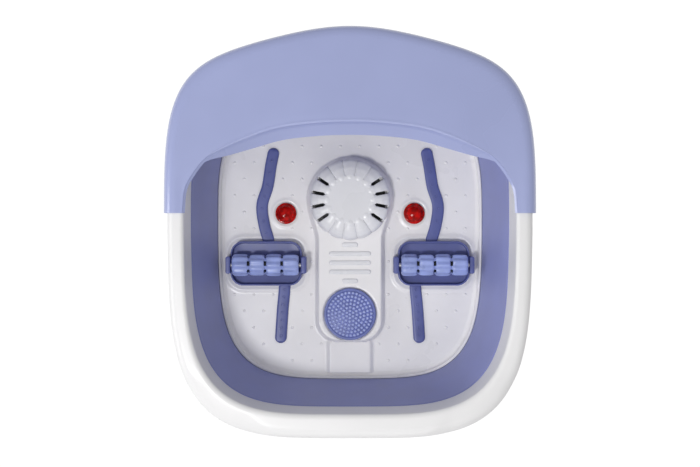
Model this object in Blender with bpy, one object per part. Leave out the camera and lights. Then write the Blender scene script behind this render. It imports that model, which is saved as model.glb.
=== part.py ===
"""Collapsible foot spa basin, modelled as an assembly of separate pieces.

Metres, +Z up. The toe side is +Y, the heel side is -Y, and the origin is on the ground under the
middle of the basin. Rings that follow the basin's plan are described by how far they are inset
from the outer edge of the rim.
"""
import math

import bmesh
import bpy
import numpy as np

MM = 0.001
GAP = 0.3 * MM

# Plan of the rim: two superellipse halves on one half width, with a soft nose at the toe side.
RIM_HALF_WIDTH = 182.7 * MM
RIM_HEEL = 206.3 * MM
RIM_TOE = 176.9 * MM
NOSE = 26.0 * MM
NOSE_WIDTH = 103.0 * MM
NOSE_FADE = 120.0 * MM
NOSE_POWER = 8.0
TOE_WIDTH_POWER = 5.4
TOE_LENGTH_POWER = 4.0
HEEL_WIDTH_POWER = 4.0
HEEL_LENGTH_POWER = 3.65
HEEL_TAPER = 0.02
HEEL_EXTRA = 8.0 * MM
PLAN_STEPS = 40
PLAN_SAMPLES = 1440

# Heights.
GUARD_TOP = 208.3 * MM
RIM_TOP = 205.0 * MM
SKIRT_BOTTOM = 155.0 * MM
APRON_BOTTOM = 150.0 * MM
FLOOR_TOP = 75.0 * MM
FLOOR_BOTTOM = 72.0 * MM
HUMP_TOP = 90.0 * MM
RIDGE_TOP = 79.5 * MM
TRAY_TOP = 86.0 * MM
TRAY_FLOOR = 78.0 * MM
BEARING_TOP = 97.5 * MM
PLATE_TOP = 8.0 * MM
PLATE_BOTTOM = 5.0 * MM
RIM_SKIRT = 17.0 * MM
SKIRT_DRAFT = 1.6 * MM
RIM_ROUND = 7.5 * MM
RIM_ROLL = 3.8 * MM
WALL = 2.5 * MM

# Splash guard.
GUARD_THICKNESS = 2.6 * MM
GUARD_REACH = 3.4 * MM
GUARD_ROUND = 11.0 * MM
GUARD_HEM = 182.0 * MM
ARM_END = 19.0 * MM
LIP_WIDTH = 14.5 * MM
LIP_ARM_WIDTH = 2.5 * MM
LIP_END = 146.0 * MM
LIP_POWER = 10.0
LIP_SLOPE = 0.9
GUARD_STEPS = 33
LIP_LINE = [(166.7, 19.0), (164.5, 41.5), (158.0, 55.5), (146.0, 71.5), (133.0, 80.8),
            (108.0, 93.2), (75.0, 104.8), (38.0, 110.3), (0.0, 112.0)]

# Fittings on the pan.
HUMP_HALF_WIDTH = 35.8 * MM
HUMP_HEEL_END = -119.0 * MM
RIDGE_HALF_WIDTH = 23.8 * MM
CAP_CENTRE = (0.0, 35.2 * MM)
CAP_RADIUS = 43.5 * MM
CAP_HEIGHT = 16.0 * MM
CAP_SLOT_WIDTH = 3.3 * MM
PAD_CENTRE = (0.0, -88.5 * MM)
PAD_RADIUS = 28.0 * MM
LENS_PLACE = (70.0 * MM, 20.5 * MM)
LENS_RADIUS = 11.5 * MM
RIB_PITCH = 9.8 * MM
RIB_CENTRE_Y = -33.1 * MM
RIB_HALF_LENGTHS = [8.7, 22.6, 22.6, 22.6, 8.7]
ROLLER_Y = -35.4 * MM
ROLLER_Z = 91.5 * MM
ROLLER_RADIUS = 12.0 * MM
ROLLER_START = 55.3 * MM
ROLLER_LENGTH = 71.9 * MM
AXLE_RADIUS = 2.5 * MM
STRIP_WIDTH = 12.6 * MM
STRIP_TOP = 78.3 * MM
TOE_STRIP = [(82.5, 92.0), (86.5, 72.0), (90.0, 50.0), (96.0, 29.2), (93.5, 7.2), (87.0, -14.0)]
HEEL_STRIP = [(71.0, -54.0), (71.8, -66.0), (73.7, -86.4), (75.9, -121.0)]
SPIGOT = (93.5 * MM, 7.2 * MM)
TRAY = (52.0, 130.0, -58.3, -9.4)
TRAY_CORNER = 14.0 * MM
BEARING_HALF_LENGTH = 10.0 * MM
BEARINGS = {"outer": (128.5, 134.5), "inner": (46.5, 53.5)}

# Base and what works inside it.
UPRIGHT = (math.pi / 2.0, 0.0, 0.0)
BLOWER_PORT_Z = 48.0 * MM
HOSE_RADIUS = 4.0 * MM
HOSE_ROUTE = [(34.0, 35.2, 48.0), (48.0, 35.2, 48.0), (66.0, 40.0, 48.5), (84.0, 34.0, 50.0),
              (91.0, 20.0, 53.0), (93.5, 7.2, 60.0), (93.5, 7.2, 62.8), (93.5, 7.2, 65.6)]
VIBRATOR_PLACE = (0.0, -110.0 * MM, 44.0 * MM)
THERMOSTAT_Y = -46.0 * MM
GLAND_WALL_Y = -155.0 * MM
BLOWER_PLACE = (0.0, 35.2 * MM)
POD_HALF_WIDTH = 52.0 * MM
POD_BOTTOM = 18.0 * MM
POD_TOP = 60.0 * MM
POD_FACE = 161.0 * MM
KNOB_PLACE = (-22.0 * MM, 39.0 * MM)
WINDOW_PLACE = (22.0 * MM, 39.0 * MM)
GLAND_PLACE = (60.0 * MM, 28.0 * MM)
FOOT_PLACES = [(92.0, 98.0), (-92.0, 98.0), (-92.0, -118.0), (92.0, -118.0)]
SCREW_PLACES = [(122.5, 0.0), (88.0, 117.0), (-88.0, 117.0), (-122.5, 0.0), (-80.0, -137.0),
                (80.0, -137.0)]

COLOURS = {
    "white_plastic": ((0.86, 0.86, 0.87), 0.3, 0.0),
    "lavender_plastic": ((0.36, 0.4, 0.64), 0.32, 0.0),
    "violet_silicone": ((0.24, 0.28, 0.52), 0.5, 0.0),
    "blue_plastic": ((0.17, 0.25, 0.53), 0.35, 0.0),
    "blue_rubber": ((0.17, 0.24, 0.52), 0.55, 0.0),
    "red_lens": ((0.6, 0.02, 0.02), 0.12, 0.0),
    "clear_lens": ((0.75, 0.8, 0.85), 0.1, 0.0),
    "lamp_glass": ((0.7, 0.25, 0.2), 0.15, 0.0),
    "dark_rubber": ((0.03, 0.03, 0.035), 0.7, 0.0),
    "black_plastic": ((0.04, 0.04, 0.045), 0.45, 0.0),
    "bright_steel": ((0.62, 0.62, 0.64), 0.25, 1.0),
    "motor_steel": ((0.45, 0.46, 0.48), 0.4, 1.0),
    "heater_metal": ((0.7, 0.7, 0.72), 0.4, 1.0),
    "board_green": ((0.02, 0.2, 0.07), 0.4, 0.0),
}


def clear_scene():
    """Start from an empty scene."""
    for old in list(bpy.data.objects):
        bpy.data.objects.remove(old, do_unlink=True)


def new_material(node, finish):
    """A Principled material of one sub-part, from the colour table."""
    colour, roughness, metallic = COLOURS[finish]
    material = bpy.data.materials.new(node + "_" + finish)
    material.use_nodes = True
    shader = material.node_tree.nodes["Principled BSDF"]
    shader.inputs["Base Color"].default_value = (*colour, 1.0)
    shader.inputs["Roughness"].default_value = roughness
    shader.inputs["Metallic"].default_value = metallic
    material.diffuse_color = (*colour, 1.0)
    return material


def new_object(name, points, faces, finish=None):
    """A closed mesh object with its faces turned outward; without a finish it is a cutter."""
    mesh = bpy.data.meshes.new(name)
    mesh.from_pydata([tuple(map(float, point)) for point in points], [], faces)
    form = bmesh.new()
    form.from_mesh(mesh)
    bmesh.ops.recalc_face_normals(form, faces=form.faces)
    form.to_mesh(mesh)
    form.free()
    mesh.shade_smooth()
    mesh.set_sharp_from_angle(angle=math.radians(35.0))
    obj = bpy.data.objects.new(name, mesh)
    bpy.context.scene.collection.objects.link(obj)
    if finish is None:
        obj.hide_render = True
        obj.display_type = "WIRE"
    else:
        mesh.materials.append(new_material(name, finish))
    return obj


def place(obj, x=0.0, y=0.0, z=0.0, turn=(0.0, 0.0, 0.0)):
    """Set an object's place and rotation."""
    obj.location = (x, y, z)
    obj.rotation_euler = turn
    return obj


def combine(target, tool, operation):
    """Add a Boolean of the tool to the target, and make the tool a hidden guide."""
    modifier = target.modifiers.new(tool.name, "BOOLEAN")
    modifier.operation = operation
    modifier.object = tool
    tool.hide_render = True
    tool.display_type = "WIRE"


def cut(target, tool):
    """Take the tool away from the target."""
    combine(target, tool, "DIFFERENCE")


def join(target, tool):
    """Fuse the tool into the target."""
    combine(target, tool, "UNION")


def plan(inset, steps=PLAN_STEPS):
    """Closed plan outline at an inset, anticlockwise from +X.

    A superellipse point in direction (c, s) is divided by the m-norm of (c, s); its length
    coordinate is then raised to m over n, so width and length can have their own powers. The
    points share out length and turning equally, so they are closer together at the corners.
    """
    turn = np.linspace(0.0, 2.0 * math.pi, PLAN_SAMPLES + 1)
    c, s = np.cos(turn), np.sin(turn)
    toe_side = s >= 0.0
    inner = min(max(inset / RIM_SKIRT, 0.0), 1.0)
    toe_power = TOE_WIDTH_POWER + (HEEL_WIDTH_POWER - TOE_WIDTH_POWER) * inner
    power = np.where(toe_side, toe_power, HEEL_WIDTH_POWER)
    norm = (np.abs(c) ** power + np.abs(s) ** power) ** (1.0 / power)
    reach = (np.abs(s) / norm) ** (power / np.where(toe_side, TOE_LENGTH_POWER, HEEL_LENGTH_POWER))
    taper = np.where(toe_side, 1.0, 1.0 - HEEL_TAPER * reach)
    x = (RIM_HALF_WIDTH - inset) * c / norm * taper
    nose = NOSE * (1.0 - max(inset, 0.0) / NOSE_FADE)
    toe = (RIM_TOE - inset) * reach + nose * np.exp(-(x / NOSE_WIDTH) ** 2) * reach ** NOSE_POWER
    heel = -(RIM_HEEL - inset - HEEL_EXTRA * inner) * reach
    y = np.where(toe_side, toe, heel)
    dx, dy = np.diff(x), np.diff(y)
    length = np.concatenate([[0.0], np.cumsum(np.hypot(dx, dy))])
    heading = np.unwrap(np.arctan2(dy, dx))
    turning = np.concatenate([[0.0], np.cumsum(np.abs(np.diff(heading)))])
    turning = np.append(turning, turning[-1])
    way = length / length[-1] + turning / turning[-1]
    stops = np.linspace(0.0, way[-1], steps, endpoint=False)
    return np.column_stack([np.interp(stops, way, x), np.interp(stops, way, y)])


def grid_faces(rows, columns, close_rows, close_columns):
    """Quads between neighbouring rows and columns of a grid of points."""
    faces = []
    for row in range(rows if close_rows else rows - 1):
        below = row * columns
        above = (row + 1) % rows * columns
        for column in range(columns if close_columns else columns - 1):
            following = (column + 1) % columns
            faces.append((below + column, below + following, above + following, above + column))
    return faces


def stack(name, outlines, finish=None, hollow=False):
    """A solid through a stack of closed outlines [(points_xy, z)].

    A hollow one joins its last outline to its first, as a ring does; the other has flat caps.
    """
    points = [(x, y, z) for outline, z in outlines for x, y in outline]
    columns = len(outlines[0][0])
    faces = grid_faces(len(outlines), columns, hollow, True)
    if not hollow:
        faces.append(tuple(range(columns)))
        faces.append(tuple(range(len(points) - columns, len(points))))
    return new_object(name, points, faces, finish)


def plan_ring(name, section, finish):
    """A ring round the basin: a closed section [(inset, z)] in millimetres on the plan."""
    return stack(name, [(plan(d * MM), z * MM) for d, z in section], finish, hollow=True)


def plan_slab(name, section, finish):
    """A slab with the basin's plan: an open section [(inset, z)] with flat caps."""
    return stack(name, [(plan(d * MM), z * MM) for d, z in section], finish)


def arc(centre, radius, start, end, steps):
    """Points on an arc in a section, in the units of its centre; angles in degrees."""
    angles = np.radians(np.linspace(start, end, steps))
    return [(centre[0] + radius * math.cos(a), centre[1] + radius * math.sin(a)) for a in angles]


def rounded_rectangle(x0, x1, y0, y1, radius, steps=3):
    """A rectangle outline with round corners, anticlockwise."""
    corners = [(x1 - radius, y1 - radius, 0.0), (x0 + radius, y1 - radius, 90.0),
               (x0 + radius, y0 + radius, 180.0), (x1 - radius, y0 + radius, 270.0)]
    outline = []
    for x, y, start in corners:
        outline += arc((x, y), radius, start, start + 90.0, steps)
    return outline


def block(name, box, z0, z1, radius, finish=None, chamfer=0.0):
    """An upright block with round corners and a chamfered top; sizes in metres."""
    x0, x1, y0, y1 = box
    side = rounded_rectangle(x0, x1, y0, y1, radius)
    levels = [(side, z0), (side, z1 - chamfer)]
    if chamfer:
        top = rounded_rectangle(x0 + chamfer, x1 - chamfer, y0 + chamfer, y1 - chamfer,
                                radius - chamfer)
        levels.append((top, z1))
    return stack(name, levels, finish)


def turned(name, profile, finish=None, steps=32, bored=False):
    """A turned piece about local Z from [(radius, z)] in millimetres.

    A bored one is a closed section turned round; the other starts and ends on the axis.
    """
    angles = np.linspace(0.0, 2.0 * math.pi, steps, endpoint=False)
    rows = profile if bored else profile[1:-1]
    points = [(r * MM * math.cos(a), r * MM * math.sin(a), z * MM) for r, z in rows for a in angles]
    faces = grid_faces(len(rows), steps, bored, True)
    if not bored:
        first = len(points)
        points += [(0.0, 0.0, profile[0][1] * MM), (0.0, 0.0, profile[-1][1] * MM)]
        last_row = (len(rows) - 1) * steps
        for i in range(steps):
            following = (i + 1) % steps
            faces.append((first, following, i))
            faces.append((first + 1, last_row + i, last_row + following))
    return new_object(name, points, faces, finish)


def rod(name, radius, z0, z1, finish=None, steps=24):
    """A plain round rod about local Z; sizes in millimetres."""
    return turned(name, [(0, z0), (radius, z0), (radius, z1), (0, z1)], finish, steps)


def ribbon_outline(centres, width, steps=5):
    """Outline of a flat band of one width along a line of centres, with round ends."""
    line = np.array(centres, float)
    along = np.gradient(line, axis=0)
    along /= np.linalg.norm(along, axis=1)[:, None]
    across = np.column_stack([-along[:, 1], along[:, 0]])
    outline = list(line - across * width / 2.0)
    outline += round_end(line[-1], along[-1], width, steps)
    outline += list((line + across * width / 2.0)[::-1])
    outline += round_end(line[0], -along[0], width, steps)
    return [tuple(point) for point in outline]


def round_end(end, direction, width, steps):
    """The half circle that closes a band past its end, without the points on its sides."""
    heading = math.degrees(math.atan2(direction[1], direction[0]))
    return arc(end, width / 2.0, heading - 90.0, heading + 90.0, steps)[1:-1]


def ribbon(name, centres, width, z0, z1, finish=None):
    """A flat band solid along a line of centres; centres in millimetres."""
    outline = ribbon_outline([(x * MM, y * MM) for x, y in centres], width)
    return stack(name, [(outline, z0), (outline, z1)], finish)


def smooth_line(points, steps):
    """Evenly spaced points on a Catmull-Rom curve through a few points."""
    knots = np.array(points, float)
    padded = np.vstack([2 * knots[0] - knots[1], knots, 2 * knots[-1] - knots[-2]])
    t = np.linspace(0.0, 1.0, 24, endpoint=False)[:, None]
    pieces = []
    for p0, p1, p2, p3 in zip(padded, padded[1:], padded[2:], padded[3:]):
        pieces.append(0.5 * (2 * p1 + (p2 - p0) * t + (2 * p0 - 5 * p1 + 4 * p2 - p3) * t ** 2
                             + (3 * p1 - p0 - 3 * p2 + p3) * t ** 3))
    curve = np.vstack(pieces + [knots[-1:]])
    return respaced(curve, steps)


def respaced(curve, steps):
    """The same line with evenly spaced points."""
    way = np.concatenate([[0.0], np.cumsum(np.linalg.norm(np.diff(curve, axis=0), axis=1))])
    stops = np.linspace(0.0, way[-1], steps)
    return np.column_stack([np.interp(stops, way, curve[:, axis])
                            for axis in range(curve.shape[1])])


def rim_parts():
    """The rigid white rim and the ring that clamps the flexible wall under it."""
    top = RIM_TOP / MM
    round_out = RIM_ROUND / MM
    roll = RIM_ROLL / MM
    skirt = RIM_SKIRT / MM
    wall = WALL / MM
    section = [(2.0, APRON_BOTTOM / MM), (0.4, 175.0)]
    section += arc((round_out, top - round_out), round_out, 180.0, 90.0, 5)
    section += arc((skirt - roll, top - roll), roll, 90.0, 0.0, 3)
    hem = skirt + SKIRT_DRAFT / MM
    section += [(hem, SKIRT_BOTTOM / MM), (hem - wall, SKIRT_BOTTOM / MM)]
    section += arc((skirt - roll, top - roll), roll - wall, 0.0, 90.0, 2)
    section += arc((round_out, top - round_out), round_out - wall, 90.0, 180.0, 3)
    section += [(2.0 + wall, APRON_BOTTOM / MM)]
    plan_ring("upper_rim", section, "white_plastic")
    plan_ring("upper_clamp_ring", [(9.8, 157.0), (9.8, 166.0), (12.2, 166.0), (12.2, 157.0)],
              "white_plastic")


def flexible_wall():
    """The silicone wall: a bead in the base, a smooth cone, and a bead outside the rim skirt."""
    section = [(38.5, 75.3), (38.5, 81.0), (20.6, 147.0), (18.8, 154.6), (15.2, 154.6),
               (15.2, 168.0), (12.5, 168.0), (12.5, 152.6), (16.2, 150.4), (18.2, 146.4),
               (35.8, 81.0), (35.8, 75.3)]
    plan_ring("bellows_wall", section, "violet_silicone")
    plan_ring("lower_clamp_ring", [(33.2, 75.3), (33.2, 81.0), (35.5, 81.0), (35.5, 75.3)],
              "white_plastic")
    plan_ring("base_gasket", [(33.6, 70.0), (33.6, 71.7), (37.0, 71.7), (37.0, 70.0)],
              "dark_rubber")


def guard_row(inset, steps=GUARD_STEPS):
    """The toe part of the plan at an inset, from the right arm's end to the left arm's."""
    outline = plan(inset, PLAN_SAMPLES)
    toe = outline[outline[:, 1] > ARM_END]
    toe = toe[np.argsort(np.unwrap(np.arctan2(toe[:, 1], toe[:, 0])))]
    first = [toe[0][0], ARM_END]
    last = [toe[-1][0], ARM_END]
    return respaced(np.vstack([first, toe, last]), steps)


def splash_guard():
    """The lift-off cover: hem, round outer edge, flat top and a sloping lip, as one shell."""
    right = [(x * MM, y * MM) for x, y in LIP_LINE]
    line = smooth_line(right + [(-x, y) for x, y in right[-2::-1]], GUARD_STEPS)
    inward = np.array([0.0, -40.0 * MM]) - line
    inward[:, 1] = np.minimum(inward[:, 1], 0.0)
    inward /= np.linalg.norm(inward, axis=1)[:, None]
    fade = np.clip(1.0 - (np.abs(line[:, 0]) / LIP_END) ** LIP_POWER, 0.0, 1.0)
    width = LIP_ARM_WIDTH + (LIP_WIDTH - LIP_ARM_WIDTH) * fade
    ends = line[:, 1] < ARM_END + 2.0 * MM
    inward[ends] = np.column_stack([-np.sign(line[ends, 0]), np.zeros(ends.sum())])
    edge = line + inward * width[:, None]

    def row(points, heights):
        return np.column_stack([points, np.broadcast_to(heights, len(points))])

    centre = (GUARD_ROUND / MM - GUARD_REACH / MM, (GUARD_TOP - GUARD_ROUND) / MM)
    rows = []
    for thick in (0.0, GUARD_THICKNESS):
        radius = (GUARD_ROUND - thick) / MM
        side = [(centre[0] - radius, GUARD_HEM / MM)] + arc(centre, radius, 180.0, 90.0, 6)
        shell = [row(guard_row(d * MM), z * MM) for d, z in side]
        shell.append(row(line, GUARD_TOP - thick))
        back = 0.6 * min(thick, 1.0)
        lower = GUARD_TOP - LIP_SLOPE * width - thick
        shell.append(row(edge - inward * back, lower))
        rows.append(shell)
    outer, under = rows
    sections = outer + under[::-1]
    points = np.vstack(sections)
    faces = grid_faces(len(sections), GUARD_STEPS, True, False)
    ring = [r * GUARD_STEPS for r in range(len(sections))]
    faces.append(tuple(ring))
    faces.append(tuple(r + GUARD_STEPS - 1 for r in ring))
    new_object("splash_guard", points, faces, "lavender_plastic")


def base_pan():
    """The white floor with its upstand, hollow hump, lamp seats and pad seat."""
    pan = plan_slab("base_pan", [(33.2, 72.0), (33.2, 75.0), (38.8, 75.0), (38.8, 80.0),
                                 (41.0, 80.0), (42.0, 77.0), (44.5, 75.0)], "white_plastic")
    w = HUMP_HALF_WIDTH
    ridge = RIDGE_HALF_WIDTH
    cx, cy = CAP_CENTRE
    heel_end = -158.0 * MM
    root = FLOOR_BOTTOM + 1.5 * MM
    join(pan, block("hump", (-w, w, HUMP_HEEL_END, cy), root, HUMP_TOP, 14 * MM,
                    chamfer=2.5 * MM))
    join(pan, block("ridge", (-ridge, ridge, heel_end, HUMP_HEEL_END + 20 * MM), root,
                    RIDGE_TOP, 4 * MM, chamfer=2.5 * MM))
    join(pan, place(rod("cap_seat", CAP_RADIUS / MM + 1.5, root / MM, HUMP_TOP / MM, steps=28),
                    cx, cy))
    for index, half in enumerate(RIB_HALF_LENGTHS):
        y = RIB_CENTRE_Y + (2 - index) * RIB_PITCH
        rib = block("rib_%d" % index, (-half * MM, half * MM, y - 2.4 * MM, y + 2.4 * MM),
                    HUMP_TOP - 1.5 * MM, HUMP_TOP + 1.8 * MM, 2.3 * MM, chamfer=0.8 * MM)
        join(pan, rib)
    below = FLOOR_BOTTOM - 2 * MM
    cut(pan, block("hump_hollow", (-w + 3 * MM, w - 3 * MM, HUMP_HEEL_END + 3 * MM, cy), below,
                   HUMP_TOP - 6 * MM, 11 * MM))
    cut(pan, place(rod("cap_hollow", CAP_RADIUS / MM - 1.5, below / MM, HUMP_TOP / MM - 3,
                       steps=28), cx, cy))
    px, py = PAD_CENTRE
    cut(pan, place(rod("pad_seat", PAD_RADIUS / MM + 0.5, HUMP_TOP / MM - 3, HUMP_TOP / MM + 8,
                       steps=28), px, py))
    for side in (-1, 1):
        lens_hole = rod("lens_hole_%d" % side, 9.4, 60, 95)
        cut(pan, place(lens_hole, side * LENS_PLACE[0], LENS_PLACE[1]))
        spigot_hole = rod("spigot_hole_%d" % side, 4.4, 60, 95, steps=16)
        cut(pan, place(spigot_hole, side * SPIGOT[0], SPIGOT[1]))


def circulation_cap():
    """The slotted dome over the toe end of the hump, open below."""
    r = CAP_RADIUS / MM
    h = CAP_HEIGHT / MM
    outside = [(r, 0.3), (r, 4.0), (r - 3.4, 10.0), (r - 10.0, 14.0), (r - 20.0, h), (0, h)]
    inside = [(0, h - 2.5), (r - 20.5, h - 2.5), (r - 11.2, 11.6), (r - 5.6, 8.2),
              (r - 2.5, 3.2), (r - 2.5, 0.3)]
    cap = turned("circulation_cap", outside[::-1] + inside[::-1], "white_plastic", steps=32)
    place(cap, CAP_CENTRE[0], CAP_CENTRE[1], HUMP_TOP)
    slots = []
    for side in (0.0, 180.0):
        for angle in (-33.75, -11.25, 11.25, 33.75):
            slots.append(math.radians(side + angle))
    half = CAP_SLOT_WIDTH / 2.0
    for index, angle in enumerate(slots):
        slot = block("slot_%d" % index, (28 * MM, 41.5 * MM, -half, half), HUMP_TOP + 5 * MM,
                     HUMP_TOP + 20 * MM, 1.5 * MM)
        cut(cap, place(slot, CAP_CENTRE[0], CAP_CENTRE[1], 0.0, (0.0, 0.0, angle)))


def pedicure_pad():
    """The round foot pad that lifts out of its seat."""
    r = PAD_RADIUS / MM
    profile = [(0, 0.3), (r, 0.3), (r, 4.6), (r - 1.0, 5.8), (r - 9.0, 8.0), (0, 9.2)]
    pad = turned("pedicure_pad", profile, "blue_rubber", steps=32)
    place(pad, PAD_CENTRE[0], PAD_CENTRE[1], HUMP_TOP - 3 * MM)


def bubble_channel(side_name, side):
    """One blue moulding: the toe strip, the roller tray with its bearings, the heel strip."""
    def mirrored(points):
        return [(side * x, y) for x, y in points]

    z0 = FLOOR_TOP + GAP
    x0, x1, y0, y1 = (value * MM for value in TRAY)
    box = (x0, x1, y0, y1) if side > 0 else (-x1, -x0, y0, y1)
    tray = block(side_name + "_bubble_channel", box, z0, TRAY_TOP, TRAY_CORNER, "blue_plastic",
                 chamfer=2 * MM)
    recess = (box[0] + 2 * MM, box[1] - 2 * MM, y0 + 6 * MM, y1 - 6 * MM)
    toe_knots = smooth_line(mirrored(TOE_STRIP), 9)
    join(tray, ribbon(side_name + "_toe_strip", toe_knots, STRIP_WIDTH, z0, STRIP_TOP))
    join(tray, ribbon(side_name + "_heel_strip", smooth_line(mirrored(HEEL_STRIP), 5),
                      STRIP_WIDTH, z0, STRIP_TOP))
    join(tray, place(rod(side_name + "_spigot", 4.0, 66, 77, steps=16), side * SPIGOT[0],
                     SPIGOT[1]))
    half = BEARING_HALF_LENGTH
    for name, (start, end) in BEARINGS.items():
        ends = sorted((side * start * MM, side * end * MM))
        tab = block(side_name + "_" + name + "_bearing",
                    (ends[0], ends[1], ROLLER_Y - half, ROLLER_Y + half), z0, BEARING_TOP,
                    2 * MM, chamfer=1 * MM)
        join(tray, tab)
    cut(tray, block(side_name + "_recess", recess, TRAY_FLOOR, 110 * MM, 10 * MM))
    bore = rod(side_name + "_bore", AXLE_RADIUS / MM + 0.3, 44, 140, steps=16)
    cut(tray, place(bore, 0.0, ROLLER_Y, ROLLER_Z, (0.0, side * math.pi / 2, 0.0)))


def roller(side_name, side):
    """A barrel of four ridged rings that spins on its axle."""
    rings = 4
    pitch = ROLLER_LENGTH / MM / rings
    outer = ROLLER_RADIUS / MM
    start = ROLLER_START / MM
    profile = [(AXLE_RADIUS / MM + 0.35, start)]
    for index in range(rings):
        low = start + index * pitch
        profile += [(outer - 3.0, low), (outer, low + 3.0), (outer, low + pitch - 3.0)]
    profile += [(outer - 3.0, start + rings * pitch), (AXLE_RADIUS / MM + 0.35,
                                                       start + rings * pitch)]
    barrel = turned(side_name + "_roller", profile, "blue_plastic", 20, bored=True)
    place(barrel, 0.0, ROLLER_Y, ROLLER_Z, (0.0, side * math.pi / 2, 0.0))
    axle = rod(side_name + "_roller_axle", AXLE_RADIUS / MM, 47.5, 133.5, "bright_steel", 12)
    place(axle, 0.0, ROLLER_Y, ROLLER_Z, (0.0, side * math.pi / 2, 0.0))


def infrared_lamp(side_name, side):
    """The red lens in its seat, its gasket, and the lamp under it."""
    x, y = side * LENS_PLACE[0], LENS_PLACE[1]
    r = LENS_RADIUS / MM
    lens = turned(side_name + "_infrared_lens",
                  [(0, 71.0), (9.0, 71.0), (9.0, 76.8), (r, 76.8), (r, 78.4), (r - 3.2, 82.2),
                   (0, 84.4)], "red_lens", 24)
    gasket = turned(side_name + "_lens_gasket",
                    [(9.4, 75.3), (9.4, 76.5), (r - 0.3, 76.5), (r - 0.3, 75.3)], "dark_rubber",
                    20, bored=True)
    lamp = turned(side_name + "_infrared_lamp",
                  [(0, 44.0), (5.0, 44.0), (5.0, 52.0), (6.5, 54.0), (6.5, 64.0), (4.6, 67.6),
                   (0, 69.0)], "lamp_glass", 14)
    for piece in (lens, gasket, lamp):
        place(piece, x, y)


def base_shell():
    """The outer housing of the base, its bottom plate, feet and screws."""
    housing = plan_ring("base_housing",
                        [(33.2, 69.7), (33.6, 60.0), (36.4, 40.0), (42.0, 20.0), (49.6, 8.3),
                         (64.0, 8.3), (64.0, 14.0), (51.0, 14.0), (45.2, 21.4), (39.6, 41.0),
                         (37.0, 60.0), (37.0, 69.7)], "white_plastic")
    w = POD_HALF_WIDTH + 0.4 * MM
    cut(housing, block("pod_opening", (-w, w, 125 * MM, 175 * MM), POD_BOTTOM - 0.4 * MM,
                       POD_TOP + 0.4 * MM, 1 * MM))
    gland_hole = rod("gland_hole", 10.5, -30, 30)
    cut(housing, place(gland_hole, GLAND_PLACE[0], GLAND_WALL_Y, GLAND_PLACE[1], UPRIGHT))
    plate = plan_slab("bottom_plate", [(50.8, 5.0), (50.2, 5.6), (50.2, 8.0)], "white_plastic")
    screw_mesh = None
    for index, (x, y) in enumerate(SCREW_PLACES):
        hole = rod("screw_hole_%d" % index, 2.1, 2, 12.5, steps=12)
        place(hole, x * MM, y * MM)
        cut(plate, hole)
        cut(housing, hole)
        screw = turned("bottom_screw_%d" % (index + 1),
                       [(0, 2.6), (3.8, 2.6), (3.8, 4.7), (1.7, 4.7), (1.7, 12.0), (0, 12.0)],
                       "bright_steel", 12)
        screw_mesh = screw_mesh or screw.data
        screw.data = screw_mesh
        place(screw, x * MM, y * MM)
    for index, (x, y) in enumerate(FOOT_PLACES):
        hole = rod("foot_hole_%d" % index, 4.4, 2, 10, steps=12)
        cut(plate, place(hole, x * MM, y * MM))
        foot = turned("rubber_foot_%d" % (index + 1),
                      [(0, 0.0), (13.4, 0.0), (13.4, 4.7), (4.0, 4.7), (4.0, 7.6), (0, 7.6)],
                      "dark_rubber", 16)
        place(foot, x * MM, y * MM)


def controls():
    """The control pod in the toe wall, with its knob, indicator window, switch and board."""
    w = POD_HALF_WIDTH
    middle = (POD_BOTTOM + POD_TOP) / 2
    half = (POD_TOP - POD_BOTTOM) / 2
    pod = block("control_pod", (-w, w, -half, half), -POD_FACE, -143 * MM, 6 * MM,
                "white_plastic")
    place(pod, 0.0, 0.0, middle, UPRIGHT)
    hollow = block("pod_hollow", (-w + 3 * MM, w - 3 * MM, -half + 3 * MM, half - 3 * MM),
                   -POD_FACE + 3 * MM, -130 * MM, 3 * MM)
    cut(pod, place(hollow, 0.0, 0.0, middle, UPRIGHT))
    holes = (("knob_hole", KNOB_PLACE, 3.5), ("window_hole", WINDOW_PLACE, 5.4))
    for name, (x, z), radius in holes:
        hole = rod(name, radius, -170, -150, steps=20)
        cut(pod, place(hole, x, 0.0, z, UPRIGHT))
    knob = turned("selector_knob",
                  [(0, -175.0), (14.0, -175.0), (16.0, -161.4), (3.1, -161.4), (3.1, -150.0),
                   (0, -150.0)], "blue_plastic", 24)
    place(knob, KNOB_PLACE[0], 0.0, KNOB_PLACE[1], UPRIGHT)
    grip = block("knob_grip", (-2.2 * MM, 2.2 * MM, -12 * MM, 12 * MM), -178 * MM, -174 * MM,
                 2 * MM)
    join(knob, place(grip, KNOB_PLACE[0], 0.0, KNOB_PLACE[1], UPRIGHT))
    window = turned("indicator_window",
                    [(0, -162.2), (4.4, -161.8), (5.0, -161.0), (5.0, -156.0), (0, -156.0)],
                    "clear_lens", 20)
    place(window, WINDOW_PLACE[0], 0.0, WINDOW_PLACE[1], UPRIGHT)
    switch = turned("selector_switch",
                    [(0, -149.6), (3.5, -149.6), (3.5, -156.4), (9.0, -156.4), (9.0, -138.0),
                     (0, -138.0)], "black_plastic", 16)
    place(switch, KNOB_PLACE[0], 0.0, KNOB_PLACE[1], UPRIGHT)
    board = block("control_board", (-46 * MM, 46 * MM, 88 * MM, 132 * MM), 24 * MM, 25.6 * MM,
                  2 * MM, "board_green")
    cut(board, place(rod("board_hole", 1.6, 20, 30, steps=12), 40 * MM, 94 * MM))
    gland = turned("cord_gland",
                   [(3.5, -8.0), (3.5, 10.0), (12.4, 9.0), (12.4, 7.0), (10.1, 7.0),
                    (10.1, -8.0)], "black_plastic", 20, bored=True)
    place(gland, GLAND_PLACE[0], GLAND_WALL_Y, GLAND_PLACE[1], UPRIGHT)


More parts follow.
